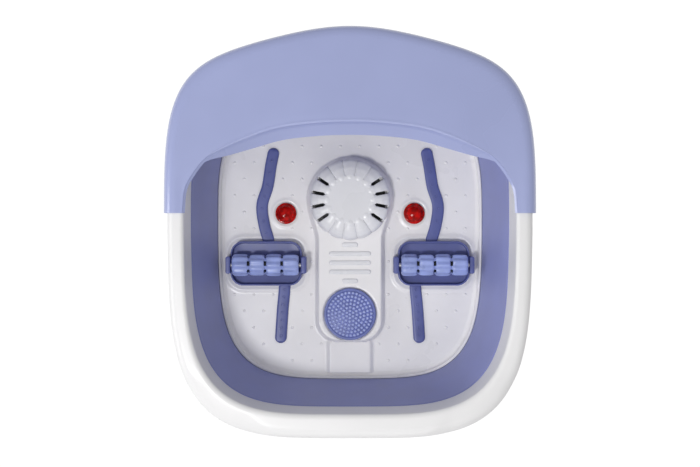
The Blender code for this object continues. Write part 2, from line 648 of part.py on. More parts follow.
def machinery():
    """What works inside the base: blower, hoses, heater, thermostat and the vibrating weight."""
    x, y = BLOWER_PLACE
    housing = turned("blower_housing",
                     [(4.0, 34.3), (4.0, 36.3), (36.0, 36.3), (36.0, 58.0), (26.0, 61.0),
                      (26.0, 63.0), (38.0, 60.0), (38.0, 34.3)],
                     "black_plastic", 24, bored=True)
    impeller = turned("blower_impeller",
                      [(0, 50.0), (6.0, 50.0), (8.0, 42.0), (32.0, 39.0), (32.0, 52.0),
                       (10.0, 57.0), (0, 57.0)], "white_plastic", 20)
    motor = turned("blower_motor",
                   [(0, 20.0), (1.9, 20.0), (1.9, 33.9), (19.0, 33.9), (19.0, 12.4), (0, 12.4)],
                   "motor_steel", 20)
    shaft = rod("motor_shaft", 1.5, 20.4, 49.6, "bright_steel", 14)
    for piece in (housing, impeller, motor, shaft):
        place(piece, x, y)
    for name, side in (("left", -1), ("right", 1)):
        port = rod(name + "_port", 4.6, 30, 45, steps=16)
        cut(housing, place(port, x, y, BLOWER_PORT_Z, (0.0, side * math.pi / 2, 0.0)))
        air_hose(name + "_air_hose", [(side * px, py, pz) for px, py, pz in HOSE_ROUTE])
    heater = block("heater_plate", (-30 * MM, 30 * MM, -80 * MM, -14 * MM), 66 * MM, 69.4 * MM,
                   8 * MM, "heater_metal", chamfer=0.8 * MM)
    cut(heater, place(rod("heater_hole", 2.2, 60, 75, steps=14), 22 * MM, -22 * MM))
    thermostat = turned("thermostat", [(0, 56.0), (8.0, 56.0), (8.0, 61.0), (10.0, 62.0),
                                       (10.0, 65.6), (0, 65.6)], "motor_steel", 20)
    place(thermostat, 0.0, THERMOSTAT_Y)
    along = (0.0, math.pi / 2, 0.0)
    vibrator = turned("vibration_motor",
                      [(0, 6.0), (1.7, 6.0), (1.7, 17.7), (12.0, 17.7), (12.0, -26.0),
                       (0, -26.0)], "motor_steel", 18)
    place(vibrator, *VIBRATOR_PLACE, along)
    weight_arc = arc((0.0, 0.0), 10.0 * MM, -80.0, 80.0, 9) + arc((0.0, 0.0), 2.6 * MM, 120.0,
                                                                 240.0, 5)
    weight = stack("eccentric_weight", [(weight_arc, 18.4 * MM), (weight_arc, 27.0 * MM)],
                   "bright_steel")
    join(weight, place(rod("weight_shaft", 1.3, 6.6, 20.0, steps=14), *VIBRATOR_PLACE, along))
    place(weight, *VIBRATOR_PLACE, along)


def air_hose(name, route):
    """A soft tube along a smooth line through a few points, given in millimetres."""
    line = smooth_line([(x * MM, y * MM, z * MM) for x, y, z in route], 14)
    curve = bpy.data.curves.new(name, "CURVE")
    curve.dimensions = "3D"
    curve.bevel_depth = HOSE_RADIUS
    curve.bevel_resolution = 2
    curve.use_fill_caps = True
    spline = curve.splines.new("POLY")
    spline.points.add(len(line) - 1)
    for knot, point in zip(spline.points, line):
        knot.co = (*map(float, point), 1.0)
    curve.materials.append(new_material(name, "dark_rubber"))
    hose = bpy.data.objects.new(name, curve)
    bpy.context.scene.collection.objects.link(hose)


def build():
    """Build every piece."""
    clear_scene()
    rim_parts()
    flexible_wall()
    splash_guard()
    base_pan()
    circulation_cap()
    pedicure_pad()
    for side_name, side in (("left", -1), ("right", 1)):
        bubble_channel(side_name, side)
        roller(side_name, side)
        infrared_lamp(side_name, side)
    base_shell()
    controls()
    machinery()


build()
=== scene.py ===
"""Looks of a collapsible foot spa basin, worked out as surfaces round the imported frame.

Metres, +Z up. The toe side with the splash guard is +Y and the heel side is -Y. Every ring that
follows the basin's plan is a profile of (inset, height) carried round that plan, where the inset
is measured inward from the outer edge of the rim.
"""

import logging
import math
from dataclasses import dataclass, field
from enum import Enum
from typing import Optional, Sequence

import bpy
import numpy as np
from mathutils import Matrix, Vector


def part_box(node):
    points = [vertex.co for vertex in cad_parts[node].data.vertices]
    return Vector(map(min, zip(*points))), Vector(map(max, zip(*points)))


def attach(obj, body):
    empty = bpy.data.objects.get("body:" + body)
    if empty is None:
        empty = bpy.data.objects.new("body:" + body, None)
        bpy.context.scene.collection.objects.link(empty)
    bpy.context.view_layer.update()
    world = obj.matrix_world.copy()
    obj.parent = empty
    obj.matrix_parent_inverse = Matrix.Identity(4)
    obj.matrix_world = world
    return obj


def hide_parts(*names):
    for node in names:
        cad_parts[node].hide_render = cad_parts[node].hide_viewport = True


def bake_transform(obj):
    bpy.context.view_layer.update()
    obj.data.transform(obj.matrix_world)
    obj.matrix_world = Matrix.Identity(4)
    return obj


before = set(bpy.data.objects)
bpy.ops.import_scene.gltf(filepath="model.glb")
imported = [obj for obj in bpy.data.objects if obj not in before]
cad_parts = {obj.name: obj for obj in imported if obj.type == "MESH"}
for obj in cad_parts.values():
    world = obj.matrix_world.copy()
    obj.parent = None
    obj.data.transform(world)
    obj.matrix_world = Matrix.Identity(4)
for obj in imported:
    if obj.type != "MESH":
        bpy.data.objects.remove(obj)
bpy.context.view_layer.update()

LOG = logging.getLogger("foot_spa")
MM = 0.001
TAU = 2.0 * math.pi
Colour = tuple[float, float, float]
Array = np.ndarray


class Body(Enum):
    """The bodies of the frame that pieces ride on."""

    BASE = "base"
    RIM = "rim"
    GUARD = "guard"
    LEFT_BARREL = "left_barrel"
    RIGHT_BARREL = "right_barrel"
    PAD = "pad"
    CAP = "cap"
    KNOB = "knob"


class Side(Enum):
    """The two mirrored halves of the basin; the value is the sign of X."""

    LEFT = -1
    RIGHT = 1

    @property
    def word(self) -> str:
        """The side's name as it starts a node's name."""
        return self.name.lower()


# ---------------------------------------------------------------------------- finishes


@dataclass(frozen=True)
class Moulded:
    """Injection-moulded or cast plastic: faint mottling, uneven gloss and a fine grain.

    A broad noise mixes two near tints and shifts the roughness, and a fine noise gives the
    bump of the mould's texture.
    """

    label: str
    colour: Colour
    roughness: float = 0.3
    gloss_drift: float = 0.08
    tint: float = 0.05
    patch: float = 0.05
    grain: float = 0.0012
    depth: float = 0.00004
    coat: float = 0.0
    sheen: float = 0.0
    metallic: float = 0.0
    specular: float = 0.5
    transmission: float = 0.0

    def material(self) -> bpy.types.Material:
        """The finish as a node material, made once.

        Returns:
            The material with this finish's label.
        """
        name = "finish_" + self.label
        known = bpy.data.materials.get(name)
        if known:
            return known
        made = bpy.data.materials.new(name)
        made.use_nodes = True
        made.diffuse_color = (*self.colour, 1.0)
        tree = made.node_tree
        shader = tree.nodes["Principled BSDF"]
        shader.inputs["Metallic"].default_value = self.metallic
        shader.inputs["Specular IOR Level"].default_value = self.specular
        shader.inputs["Coat Weight"].default_value = self.coat
        shader.inputs["Coat Roughness"].default_value = 0.12
        shader.inputs["Sheen Weight"].default_value = self.sheen
        shader.inputs["Transmission Weight"].default_value = self.transmission
        place = tree.nodes.new("ShaderNodeTexCoord").outputs["Object"]
        broad = self._noise(tree, place, 1.0 / self.patch, 3.0)
        fine = self._noise(tree, place, 1.0 / self.grain, 2.0)
        tree.links.new(self._tinted(tree, broad), shader.inputs["Base Color"])
        tree.links.new(self._drifting(tree, broad), shader.inputs["Roughness"])
        bump = tree.nodes.new("ShaderNodeBump")
        bump.inputs["Strength"].default_value = 0.6
        bump.inputs["Distance"].default_value = self.depth
        tree.links.new(fine, bump.inputs["Height"])
        tree.links.new(bump.outputs["Normal"], shader.inputs["Normal"])
        return made

    @staticmethod
    def _noise(tree: bpy.types.NodeTree, place: bpy.types.NodeSocket, scale: float,
               detail: float) -> bpy.types.NodeSocket:
        """A noise pattern in the object's own space.

        Args:
            tree: The material's nodes.
            place: The coordinate that the pattern follows.
            scale: Repeats to a metre.
            detail: How many finer layers are added.

        Returns:
            The noise value's socket.
        """
        noise = tree.nodes.new("ShaderNodeTexNoise")
        noise.inputs["Scale"].default_value = scale
        noise.inputs["Detail"].default_value = detail
        tree.links.new(place, noise.inputs["Vector"])
        return noise.outputs["Fac"]

    def _tinted(self, tree: bpy.types.NodeTree, value: bpy.types.NodeSocket
                ) -> bpy.types.NodeSocket:
        """The colour, a little darker and lighter from place to place.

        Args:
            tree: The material's nodes.
            value: The pattern that picks between the two tints.

        Returns:
            The mixed colour's socket.
        """
        ramp = tree.nodes.new("ShaderNodeValToRGB")
        dark, light = ramp.color_ramp.elements
        dark.position, light.position = 0.3, 0.7
        dark.color = (*(channel * (1.0 - self.tint) for channel in self.colour), 1.0)
        light.color = (*(min(channel * (1.0 + self.tint), 1.0) for channel in self.colour), 1.0)
        tree.links.new(value, ramp.inputs["Fac"])
        return ramp.outputs["Color"]

    def _drifting(self, tree: bpy.types.NodeTree, value: bpy.types.NodeSocket
                  ) -> bpy.types.NodeSocket:
        """The roughness, drifting about its middle value.

        Args:
            tree: The material's nodes.
            value: The pattern that the roughness follows.

        Returns:
            The roughness value's socket.
        """
        spread = tree.nodes.new("ShaderNodeMapRange")
        spread.inputs["From Min"].default_value = 0.3
        spread.inputs["From Max"].default_value = 0.7
        spread.inputs["To Min"].default_value = self.roughness - self.gloss_drift / 2.0
        spread.inputs["To Max"].default_value = self.roughness + self.gloss_drift / 2.0
        tree.links.new(value, spread.inputs["Value"])
        return spread.outputs["Result"]


RIM_WHITE = Moulded("rim_white", (0.78, 0.775, 0.78), 0.34, tint=0.015, depth=0.00002)
PAN_WHITE = Moulded("pan_white", (0.88, 0.865, 0.875), 0.3, tint=0.03, depth=0.00003)
BASE_WHITE = Moulded("base_white", (0.8, 0.8, 0.81), 0.38, tint=0.02, depth=0.00005)
CAP_WHITE = Moulded("cap_white", (0.78, 0.78, 0.81), 0.28, tint=0.02, depth=0.00002)
GUARD_LAVENDER = Moulded("guard_lavender", (0.33, 0.37, 0.62), 0.3, tint=0.03, patch=0.09,
                         depth=0.00003, coat=1.0)
WALL_SILICONE = Moulded("wall_silicone", (0.235, 0.262, 0.535), 0.46, tint=0.05, patch=0.03,
                        depth=0.00005, sheen=0.12)
CHANNEL_BLUE = Moulded("channel_blue", (0.095, 0.115, 0.33), 0.34, tint=0.08, patch=0.02)
ROLLER_BLUE = Moulded("roller_blue", (0.32, 0.39, 0.74), 0.3, tint=0.14, patch=0.015)
# Painted light on the pad: its base blue is darkened as painted shade between the nubs, and the
# nubs are a lighter blue as painted highlights on their domes.
PAD_SHADED_BLUE = Moulded("pad_blue", (0.145, 0.18, 0.46), 0.42, tint=0.08, patch=0.01, sheen=0.15)
PAD_NUB_LIT_BLUE = Moulded("pad_nub_painted_highlight", (0.44, 0.5, 0.84), 0.25, tint=0.05, patch=0.01)
# Painted highlight and shade: on the lens the wide tint swing gives lighter and darker red patches
# that stand in for the lit dome's glints and dark spots.
LENS_RED = Moulded("lens_red", (0.4, 0.004, 0.003), 0.16, tint=0.6, patch=0.005, specular=0.12)
WINDOW_CLEAR = Moulded("window_clear", (0.8, 0.84, 0.88), 0.12, coat=0.4, transmission=0.3)
LAMP_GLASS = Moulded("lamp_glass", (0.7, 0.25, 0.2), 0.1, transmission=0.5)
SEAL_DARK = Moulded("seal_dark", (0.035, 0.035, 0.04), 0.62, tint=0.2, depth=0.00008)
FOOT_GREY = Moulded("foot_grey", (0.09, 0.09, 0.1), 0.66, tint=0.15, depth=0.0001)
BLACK_PLASTIC = Moulded("black_plastic", (0.03, 0.03, 0.034), 0.45, tint=0.15, depth=0.00008)
SCREW_STEEL = Moulded("screw_steel", (0.58, 0.58, 0.6), 0.3, metallic=1.0, patch=0.004)
MOTOR_STEEL = Moulded("motor_steel", (0.42, 0.43, 0.45), 0.38, metallic=1.0, patch=0.008)
HEATER_METAL = Moulded("heater_metal", (0.7, 0.7, 0.72), 0.35, metallic=1.0, patch=0.01)
BOARD_GREEN = Moulded("board_green", (0.02, 0.17, 0.06), 0.35, tint=0.35, patch=0.004)


# ---------------------------------------------------------------------------- forms


@dataclass
class Form:
    """A skin of points, four-sided faces, and caps with any number of sides."""

    points: Array
    quads: Array
    caps: list[Array] = field(default_factory=list)

    @classmethod
    def from_grid(cls, grid: Array, loop_rows: bool = False, loop_columns: bool = True,
                  capped: bool = True, keep: Optional[Array] = None) -> "Form":
        """A skin over a grid of points.

        Args:
            grid: Points as rows by columns by three.
            loop_rows: Whether the last row joins the first.
            loop_columns: Whether the last column joins the first.
            capped: Whether a looped grid that is open at its ends gets flat caps.
            keep: Which faces stay, as rows by columns; all of them if left out.

        Returns:
            The skin, with its faces turned outward if it is closed.
        """
        rows, columns = grid.shape[:2]
        index = np.arange(rows * columns).reshape(rows, columns)
        above = np.roll(index, -1, axis=0)
        here, above = (index, above) if loop_rows else (index[:-1], above[:-1])
        across = [np.roll(part, -1, axis=1) for part in (here, above)]
        faces = np.stack([here, across[0], across[1], above], axis=-1)
        if not loop_columns:
            faces = faces[:, :-1]
        quads = faces.reshape(-1, 4) if keep is None else faces[keep]
        caps = []
        if capped and loop_columns and not loop_rows:
            caps = [index[0][::-1], index[-1]]
        if capped and loop_rows and not loop_columns:
            caps = [index[:, 0], index[::-1, -1]]
        form = cls(grid.reshape(-1, 3).astype(float), quads, caps)
        return form.facing_out() if caps or (loop_rows and loop_columns) else form

    def volume(self) -> float:
        """The signed volume inside the skin, a sixth of the sum of triple products."""
        p = self.points
        q = self.quads
        total = np.einsum("ij,ij->", p[q[:, 0]], np.cross(p[q[:, 1]], p[q[:, 2]]))
        total += np.einsum("ij,ij->", p[q[:, 0]], np.cross(p[q[:, 2]], p[q[:, 3]]))
        for cap in self.caps:
            ring = p[cap]
            fan = np.cross(ring[1:-1], ring[2:])
            total += float(np.sum(fan @ ring[0]))
        return float(total) / 6.0

    def flipped(self) -> "Form":
        """The same skin with its faces turned round."""
        return Form(self.points, self.quads[:, ::-1], [cap[::-1] for cap in self.caps])

    def facing_out(self) -> "Form":
        """The same skin, turned round if its volume is negative."""
        return self.flipped() if self.volume() < 0.0 else self

    def moved(self, place: Sequence[float], turn: Optional[Array] = None) -> "Form":
        """The skin turned by a matrix and then moved.

        Args:
            place: The offset that is added last.
            turn: A three by three matrix, or nothing.

        Returns:
            The skin in its new place, still facing out.
        """
        points = self.points if turn is None else self.points @ np.asarray(turn).T
        return Form(points + np.asarray(place, float), self.quads, self.caps)

    def mirrored(self, side: Side) -> "Form":
        """The skin for one side, from the skin of the right side."""
        if side is Side.RIGHT:
            return self
        return Form(self.points * np.array([-1.0, 1.0, 1.0]), self.quads, self.caps).flipped()

    def repeated(self, places: Array) -> "Form":
        """Copies of the skin at many places, as one skin.

        Args:
            places: Offsets as rows of three.

        Returns:
            All the copies together.
        """
        count, size = len(places), len(self.points)
        shifts = np.arange(count) * size
        points = (places[:, None, :] + self.points[None]).reshape(-1, 3)
        quads = (self.quads[None] + shifts[:, None, None]).reshape(-1, 4)
        caps = [cap + shift for shift in shifts for cap in self.caps]
        return Form(points, quads, caps)

    @staticmethod
    def together(forms: Sequence["Form"]) -> "Form":
        """Several skins as one, for a piece made of touching lumps."""
        shifts = np.cumsum([0] + [len(form.points) for form in forms[:-1]])
        points = np.vstack([form.points for form in forms])
        quads = np.vstack([form.quads + shift for form, shift in zip(forms, shifts)])
        caps = [cap + shift for form, shift in zip(forms, shifts) for cap in form.caps]
        return Form(points, quads, caps)

    def mesh(self, name: str, sharp: float) -> bpy.types.Mesh:
        """A Blender mesh of the skin, shaded smooth up to an angle.

        Args:
            name: The mesh's name.
            sharp: The angle in degrees past which an edge stays sharp.

        Returns:
            The new mesh.
        """
        made = bpy.data.meshes.new(name)
        sizes = np.concatenate([np.full(len(self.quads), 4), [len(cap) for cap in self.caps]])
        sizes = sizes.astype(np.int32)
        corners = np.concatenate([self.quads.reshape(-1), *self.caps]).astype(np.int32)
        starts = np.concatenate([[0], np.cumsum(sizes)[:-1]]).astype(np.int32)
        made.vertices.add(len(self.points))
        made.vertices.foreach_set("co", self.points.astype(np.float32).reshape(-1))
        made.loops.add(len(corners))
        made.loops.foreach_set("vertex_index", corners)
        made.polygons.add(len(sizes))
        made.polygons.foreach_set("loop_start", starts)
        made.update(calc_edges=True)
        made.validate()
        made.shade_smooth()
        made.set_sharp_from_angle(angle=math.radians(sharp))
        return made


def filleted(corners: Sequence[tuple[float, float, float]], closed: bool = False,
             steps: int = 6) -> Array:
    """A line through corners, each rounded by an arc of its own radius.

    At each corner the arc touches both sides at radius over the tangent of half the angle
    between them, and it is swept between the two touching points about its centre.

    Args:
        corners: Each corner's two coordinates and its radius.
        closed: Whether the line returns to its start.
        steps: Points on each arc.

    Returns:
        The line's points, two to a row.
    """
    line = np.array([corner[:2] for corner in corners], float)
    fractions = np.linspace(0.0, 1.0, steps)
    points: list[Array] = []
    for i, (_, _, radius) in enumerate(corners):
        end = not closed and i in (0, len(corners) - 1)
        if end or radius <= 0.0:
            points.append(line[i][None])
            continue
        back = line[i - 1] - line[i]
        ahead = line[(i + 1) % len(line)] - line[i]
        lengths = np.linalg.norm(back), np.linalg.norm(ahead)
        back, ahead = back / lengths[0], ahead / lengths[1]
        half = 0.5 * math.acos(float(np.clip(back @ ahead, -1.0, 1.0)))
        reach = min(radius / math.tan(half), 0.48 * lengths[0], 0.48 * lengths[1])
        middle = (back + ahead) / np.linalg.norm(back + ahead)
        centre = line[i] + middle * reach / math.cos(half)
        first, last = line[i] + back * reach - centre, line[i] + ahead * reach - centre
        sweep = math.pi - 2.0 * half
        shares = (np.sin((1.0 - fractions) * sweep), np.sin(fractions * sweep))
        arc = (shares[0][:, None] * first + shares[1][:, None] * last) / math.sin(sweep)
        points.append(centre + arc)
    return np.vstack(points)


def subdivided(line: Array, longest: float) -> Array:
    """The same line with no step longer than a limit, so that it can bend later."""
    parts = []
    for start, end in zip(line[:-1], line[1:]):
        count = max(1, math.ceil(float(np.linalg.norm(end - start)) / longest))
        parts.append(start + (end - start) * np.linspace(0.0, 1.0, count, endpoint=False)[:, None])
    return np.vstack(parts + [line[-1:]])


def respaced(line: Array, count: int) -> Array:
    """The same line with evenly spaced points."""
    way = np.concatenate([[0.0], np.cumsum(np.linalg.norm(np.diff(line, axis=0), axis=1))])
    stops = np.linspace(0.0, way[-1], count)
    return np.column_stack([np.interp(stops, way, line[:, k]) for k in range(line.shape[1])])


def smooth_line(knots: Sequence[tuple[float, float]], count: int) -> Array:
    """A Catmull-Rom curve through a few points, evenly spaced.

    Args:
        knots: The points, in millimetres.
        count: How many points the curve gets.

    Returns:
        The curve's points, in metres.
    """
    known = np.array(knots, float) * MM
    padded = np.vstack([2 * known[0] - known[1], known, 2 * known[-1] - known[-2]])
    t = np.linspace(0.0, 1.0, 30, endpoint=False)[:, None]
    spans = []
    for p0, p1, p2, p3 in zip(padded, padded[1:], padded[2:], padded[3:]):
        spans.append(0.5 * (2 * p1 + (p2 - p0) * t + (2 * p0 - 5 * p1 + 4 * p2 - p3) * t ** 2
                            + (3 * p1 - p0 - 3 * p2 + p3) * t ** 3))
    return respaced(np.vstack(spans + [known[-1:]]), count)


def smooth_step(value: Array) -> Array:
    """Zero below 0, one above 1, and a smooth S between them."""
    t = np.clip(value, 0.0, 1.0)
    return t * t * (3.0 - 2.0 * t)


def turned(profile: Array, columns: int = 64) -> Form:
    """A profile of (radius, height) turned about Z; its two ends get flat caps."""
    angles = np.linspace(0.0, TAU, columns, endpoint=False)
    r, z = profile[:, 0][:, None], profile[:, 1][:, None]
    grid = np.stack([r * np.cos(angles), r * np.sin(angles), z + 0.0 * angles], axis=-1)
    return Form.from_grid(grid)


def tube(profile: Array, columns: int = 64) -> Form:
    """A closed profile of (radius, height) turned about Z into a ring."""
    angles = np.linspace(0.0, TAU, columns, endpoint=False)
    r, z = profile[:, 0][:, None], profile[:, 1][:, None]
    grid = np.stack([r * np.cos(angles), r * np.sin(angles), z + 0.0 * angles], axis=-1)
    return Form.from_grid(grid, loop_rows=True)


def rounded_box(half_x: float, half_y: float, radius: float, columns: int = 64) -> Array:
    """The outline of a rectangle with round corners, about its own centre.

    Each direction is first sent to a corner's circle; the straight sides are the gaps between
    the four circles.
    """
    quarter = np.linspace(0.0, math.pi / 2.0, columns // 4)
    turns = [quarter + k * math.pi / 2.0 for k in range(4)]
    signs = [(1, 1), (-1, 1), (-1, -1), (1, -1)]
    parts = [np.column_stack([sx * (half_x - radius) + radius * np.cos(turn),
                              sy * (half_y - radius) + radius * np.sin(turn)])
             for (sx, sy), turn in zip(signs, turns)]
    return np.vstack(parts)


def lofted_box(half_x: float, half_y: float, radius: float, profile: Array) -> Form:
    """A block with round corners whose sides follow a profile of (inset, height)."""
    rows = []
    for inset, z in profile:
        outline = rounded_box(half_x - inset, half_y - inset, max(radius - inset, 0.3 * MM))
        rows.append(np.column_stack([outline, np.full(len(outline), z)]))
    return Form.from_grid(np.stack(rows))


def box_distance(x: Array, y: Array, centre: tuple[float, float], half: tuple[float, float],
                 radius: float) -> Array:
    """Signed distance from points to a rounded rectangle, negative inside."""
    dx = np.abs(x - centre[0]) - half[0] + radius
    dy = np.abs(y - centre[1]) - half[1] + radius
    outside = np.hypot(np.maximum(dx, 0.0), np.maximum(dy, 0.0))
    return outside + np.minimum(np.maximum(dx, dy), 0.0) - radius


def joined(a: Array, b: Array, soft: float) -> Array:
    """The smaller of two distances, with the notch where they cross filled by a soft curve."""
    near = np.maximum(soft - np.abs(a - b), 0.0) / soft
    return np.minimum(a, b) - 0.25 * soft * near ** 2


TURN_TO_X = np.array([[0.0, 0.0, 1.0], [0.0, 1.0, 0.0], [-1.0, 0.0, 0.0]])
TURN_TO_Y = np.array([[1.0, 0.0, 0.0], [0.0, 0.0, 1.0], [0.0, -1.0, 0.0]])


def round_place(node: str) -> tuple[float, float, float]:
    """The middle (x, y) and the radius of an upright round node of the frame."""
    low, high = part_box(node)
    return (low.x + high.x) / 2.0, (low.y + high.y) / 2.0, (high.x - low.x) / 2.0


def show(name: str, form: Form, finish: Moulded, body: Body,
         replaces: Sequence[str] = (), sharp: float = 35.0,
         rides: bool = True) -> bpy.types.Object:
    """Make a piece of a form, dress it and fasten it to its body.

    Args:
        name: The piece's name.
        form: Its skin, already in place.
        finish: Its finish.
        body: The body that it rides on.
        replaces: CAD nodes that it hides.
        sharp: The angle in degrees past which its edges stay sharp.
        rides: Whether it is fastened to its body now.

    Returns:
        The piece.
    """
    piece = bpy.data.objects.new(name, form.mesh(name, sharp))
    bpy.context.scene.collection.objects.link(piece)
    piece.data.materials.append(finish.material())
    if rides:
        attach(piece, body.value)
    if replaces:
        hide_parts(*replaces)
    LOG.info("%s: %d points, %d faces", name, len(form.points), len(form.quads))
    return piece


# ---------------------------------------------------------------------------- the plan


@dataclass
class BasinPlan:
    """The basin's plan: two superellipse halves on one half width, with a soft toe nose."""

    half_width: float
    heel: float
    toe: float
    nose: float = 26.0 * MM
    nose_width: float = 103.0 * MM
    nose_fade: float = 120.0 * MM
    nose_power: float = 8.0
    toe_powers: tuple[float, float] = (5.4, 4.0)
    heel_powers: tuple[float, float] = (4.0, 3.65)
    heel_taper: float = 0.02
    heel_extra: float = 8.0 * MM
    extra_by: float = 17.0 * MM
    samples: int = 2880

    @classmethod
    def from_frame(cls) -> "BasinPlan":
        """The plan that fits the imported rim."""
        low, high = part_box("upper_rim")
        return cls(half_width=high.x, heel=-low.y, toe=high.y - cls.nose)

    def closed_line(self, inset: float) -> Array:
        """The dense closed outline at an inset, starting and ending on +X.

        A direction (c, s) is divided by its m-norm to land on the superellipse of power m; the
        length coordinate is then raised to m over n, which gives length its own power n. The
        nose adds a bell curve of the width, and the heel is narrowed a little by its taper.

        Args:
            inset: How far inside the rim's outer edge.

        Returns:
            Points, two to a row.
        """
        turn = np.linspace(0.0, TAU, self.samples + 1)
        c, s = np.cos(turn), np.sin(turn)
        toe_side = s >= 0.0
        inner = min(max(inset / self.extra_by, 0.0), 1.0)
        toe_power = self.toe_powers[0] + (self.heel_powers[0] - self.toe_powers[0]) * inner
        power = np.where(toe_side, toe_power, self.heel_powers[0])
        norm = (np.abs(c) ** power + np.abs(s) ** power) ** (1.0 / power)
        length_power = np.where(toe_side, self.toe_powers[1], self.heel_powers[1])
        reach = (np.abs(s) / norm) ** (power / length_power)
        taper = np.where(toe_side, 1.0, 1.0 - self.heel_taper * reach)
        x = (self.half_width - inset) * c / norm * taper
        nose = self.nose * (1.0 - max(inset, 0.0) / self.nose_fade)
        toe = (self.toe - inset) * reach
        toe = toe + nose * np.exp(-(x / self.nose_width) ** 2) * reach ** self.nose_power
        heel = -(self.heel - inset - self.heel_extra * inner) * reach
        return np.column_stack([x, np.where(toe_side, toe, heel)])

    def outline(self, inset: float, columns: int = 240) -> Array:
        """The outline at an inset, with its points shared between length and turning.

        Args:
            inset: How far inside the rim's outer edge.
            columns: How many points.

        Returns:
            Points, two to a row, anticlockwise from +X without the closing one.
        """
        line = self.closed_line(inset)
        step = np.diff(line, axis=0)
        length = np.concatenate([[0.0], np.cumsum(np.hypot(step[:, 0], step[:, 1]))])
        heading = np.unwrap(np.arctan2(step[:, 1], step[:, 0]))
        turning = np.concatenate([[0.0], np.cumsum(np.abs(np.diff(heading)))])
        turning = np.append(turning, turning[-1])
        way = length / length[-1] + turning / turning[-1]
        stops = np.linspace(0.0, way[-1], columns, endpoint=False)
        return np.column_stack([np.interp(stops, way, line[:, k]) for k in range(2)])

    def carried(self, section: Array, columns: int = 240) -> Array:
        """A section of (inset, height) carried round the plan, as a grid of points."""
        rows = [np.column_stack([self.outline(inset, columns), np.full(columns, z)])
                for inset, z in section]
        return np.stack(rows)

    def ring(self, section: Array, columns: int = 240) -> Form:
        """A closed section carried round the plan as a ring."""
        return Form.from_grid(self.carried(section, columns), loop_rows=True)

    def slab(self, section: Array, columns: int = 240) -> Form:
        """An open section carried round the plan, with flat caps."""
        return Form.from_grid(self.carried(section, columns))

    def toe_row(self, inset: float, start: float, columns: int) -> Array:
        """The toe part of the outline beyond a start line, from right to left.

        Args:
            inset: How far inside the rim's outer edge; negative is outside it.
            start: The Y where both ends are cut square.
            columns: How many points.

        Returns:
            Evenly spaced points.
        """
        line = self.closed_line(inset)[: self.samples // 2 + 1]
        line = line[line[:, 1] > start]
        ends = [[line[0][0], start]], [[line[-1][0], start]]
        return respaced(np.vstack([ends[0], line, ends[1]]), columns)


# ---------------------------------------------------------------------------- sub-assemblies


@dataclass
class UpperRim:
    """The rigid white rim: a rounded crown over an outer apron and an inner skirt."""

    plan: BasinPlan
    crown: float = 7.5 * MM
    roll: float = 3.8 * MM
    skirt: float = 17.0 * MM
    wall: float = 2.4 * MM
    apron_draft: float = 2.0 * MM
    skirt_draft: float = 1.6 * MM
    longest_step: float = 1.8 * MM
    facet_inset: float = 12.8 * MM
    facet_from: tuple[float, float] = (-132.0 * MM, -158.0 * MM)
    facet_to: tuple[float, float] = (66.0 * MM, 104.0 * MM)
    facet_slope: float = 0.3

    def section(self) -> Array:
        """The closed section of (inset, height), from the apron's hem over the crown."""
        low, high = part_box("upper_rim")
        top, hem, inner = high.z, low.z, low.z + 5.0 * MM
        w, d, lean = self.wall, self.apron_draft, self.skirt_draft
        corners = [(d, hem, 1.0 * MM), (0.0, top, self.crown), (self.skirt, top, self.roll),
                   (self.skirt + lean, inner, 1.0 * MM),
                   (self.skirt + lean - w, inner, 1.0 * MM),
                   (self.skirt - w, top - w, 2.5 * MM), (w, top - w, self.crown - w),
                   (d + w, hem, 1.0 * MM)]
        line = filleted(corners, closed=True, steps=9)
        return subdivided(np.vstack([line, line[:1]]), self.longest_step)[:-1]

    def faceted(self, grid: Array, insets: Array) -> Array:
        """The rim with a shallow facet on the outside of each heel corner.

        Outside a crease that follows the plan at its own inset, the crown falls away at a
        slope. Towards the heel's middle the crease swings out to the edge, and towards the
        side the slope fades in; the apron below follows less and less.

        Args:
            grid: The rim's points, a row for each point of its section.
            insets: The inset of each row.

        Returns:
            The points with the facets.
        """
        low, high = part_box("upper_rim")
        x, y = np.abs(grid[..., 0]), grid[..., 1]
        swing = smooth_step((x - self.facet_to[0]) / (self.facet_to[1] - self.facet_to[0]))
        start, full = self.facet_from
        fade = smooth_step((start - y) / (start - full))
        beyond = np.maximum(self.facet_inset * swing - insets[:, None], 0.0)
        height = np.clip((grid[..., 2] - low.z) / (high.z - low.z), 0.0, 1.0)
        dropped = grid.copy()
        dropped[..., 2] -= self.facet_slope * beyond * fade * height
        return dropped

    def build(self) -> None:
        """Make and dress the rim and its hidden clamp ring."""
        section = self.section()
        grid = self.faceted(self.plan.carried(section, 320), section[:, 0])
        form = Form.from_grid(grid, loop_rows=True)
        show("rim_shell", form, RIM_WHITE, Body.RIM, ["upper_rim"])
        low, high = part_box("upper_clamp_ring")
        corners = [(9.8 * MM, low.z, 0.6 * MM), (9.8 * MM, high.z, 0.6 * MM),
                   (12.1 * MM, high.z, 0.6 * MM), (12.1 * MM, low.z, 0.6 * MM)]
        ring = self.plan.ring(filleted(corners, closed=True, steps=3), 160)
        show("rim_clamp_ring", ring, RIM_WHITE, Body.RIM, ["upper_clamp_ring"])


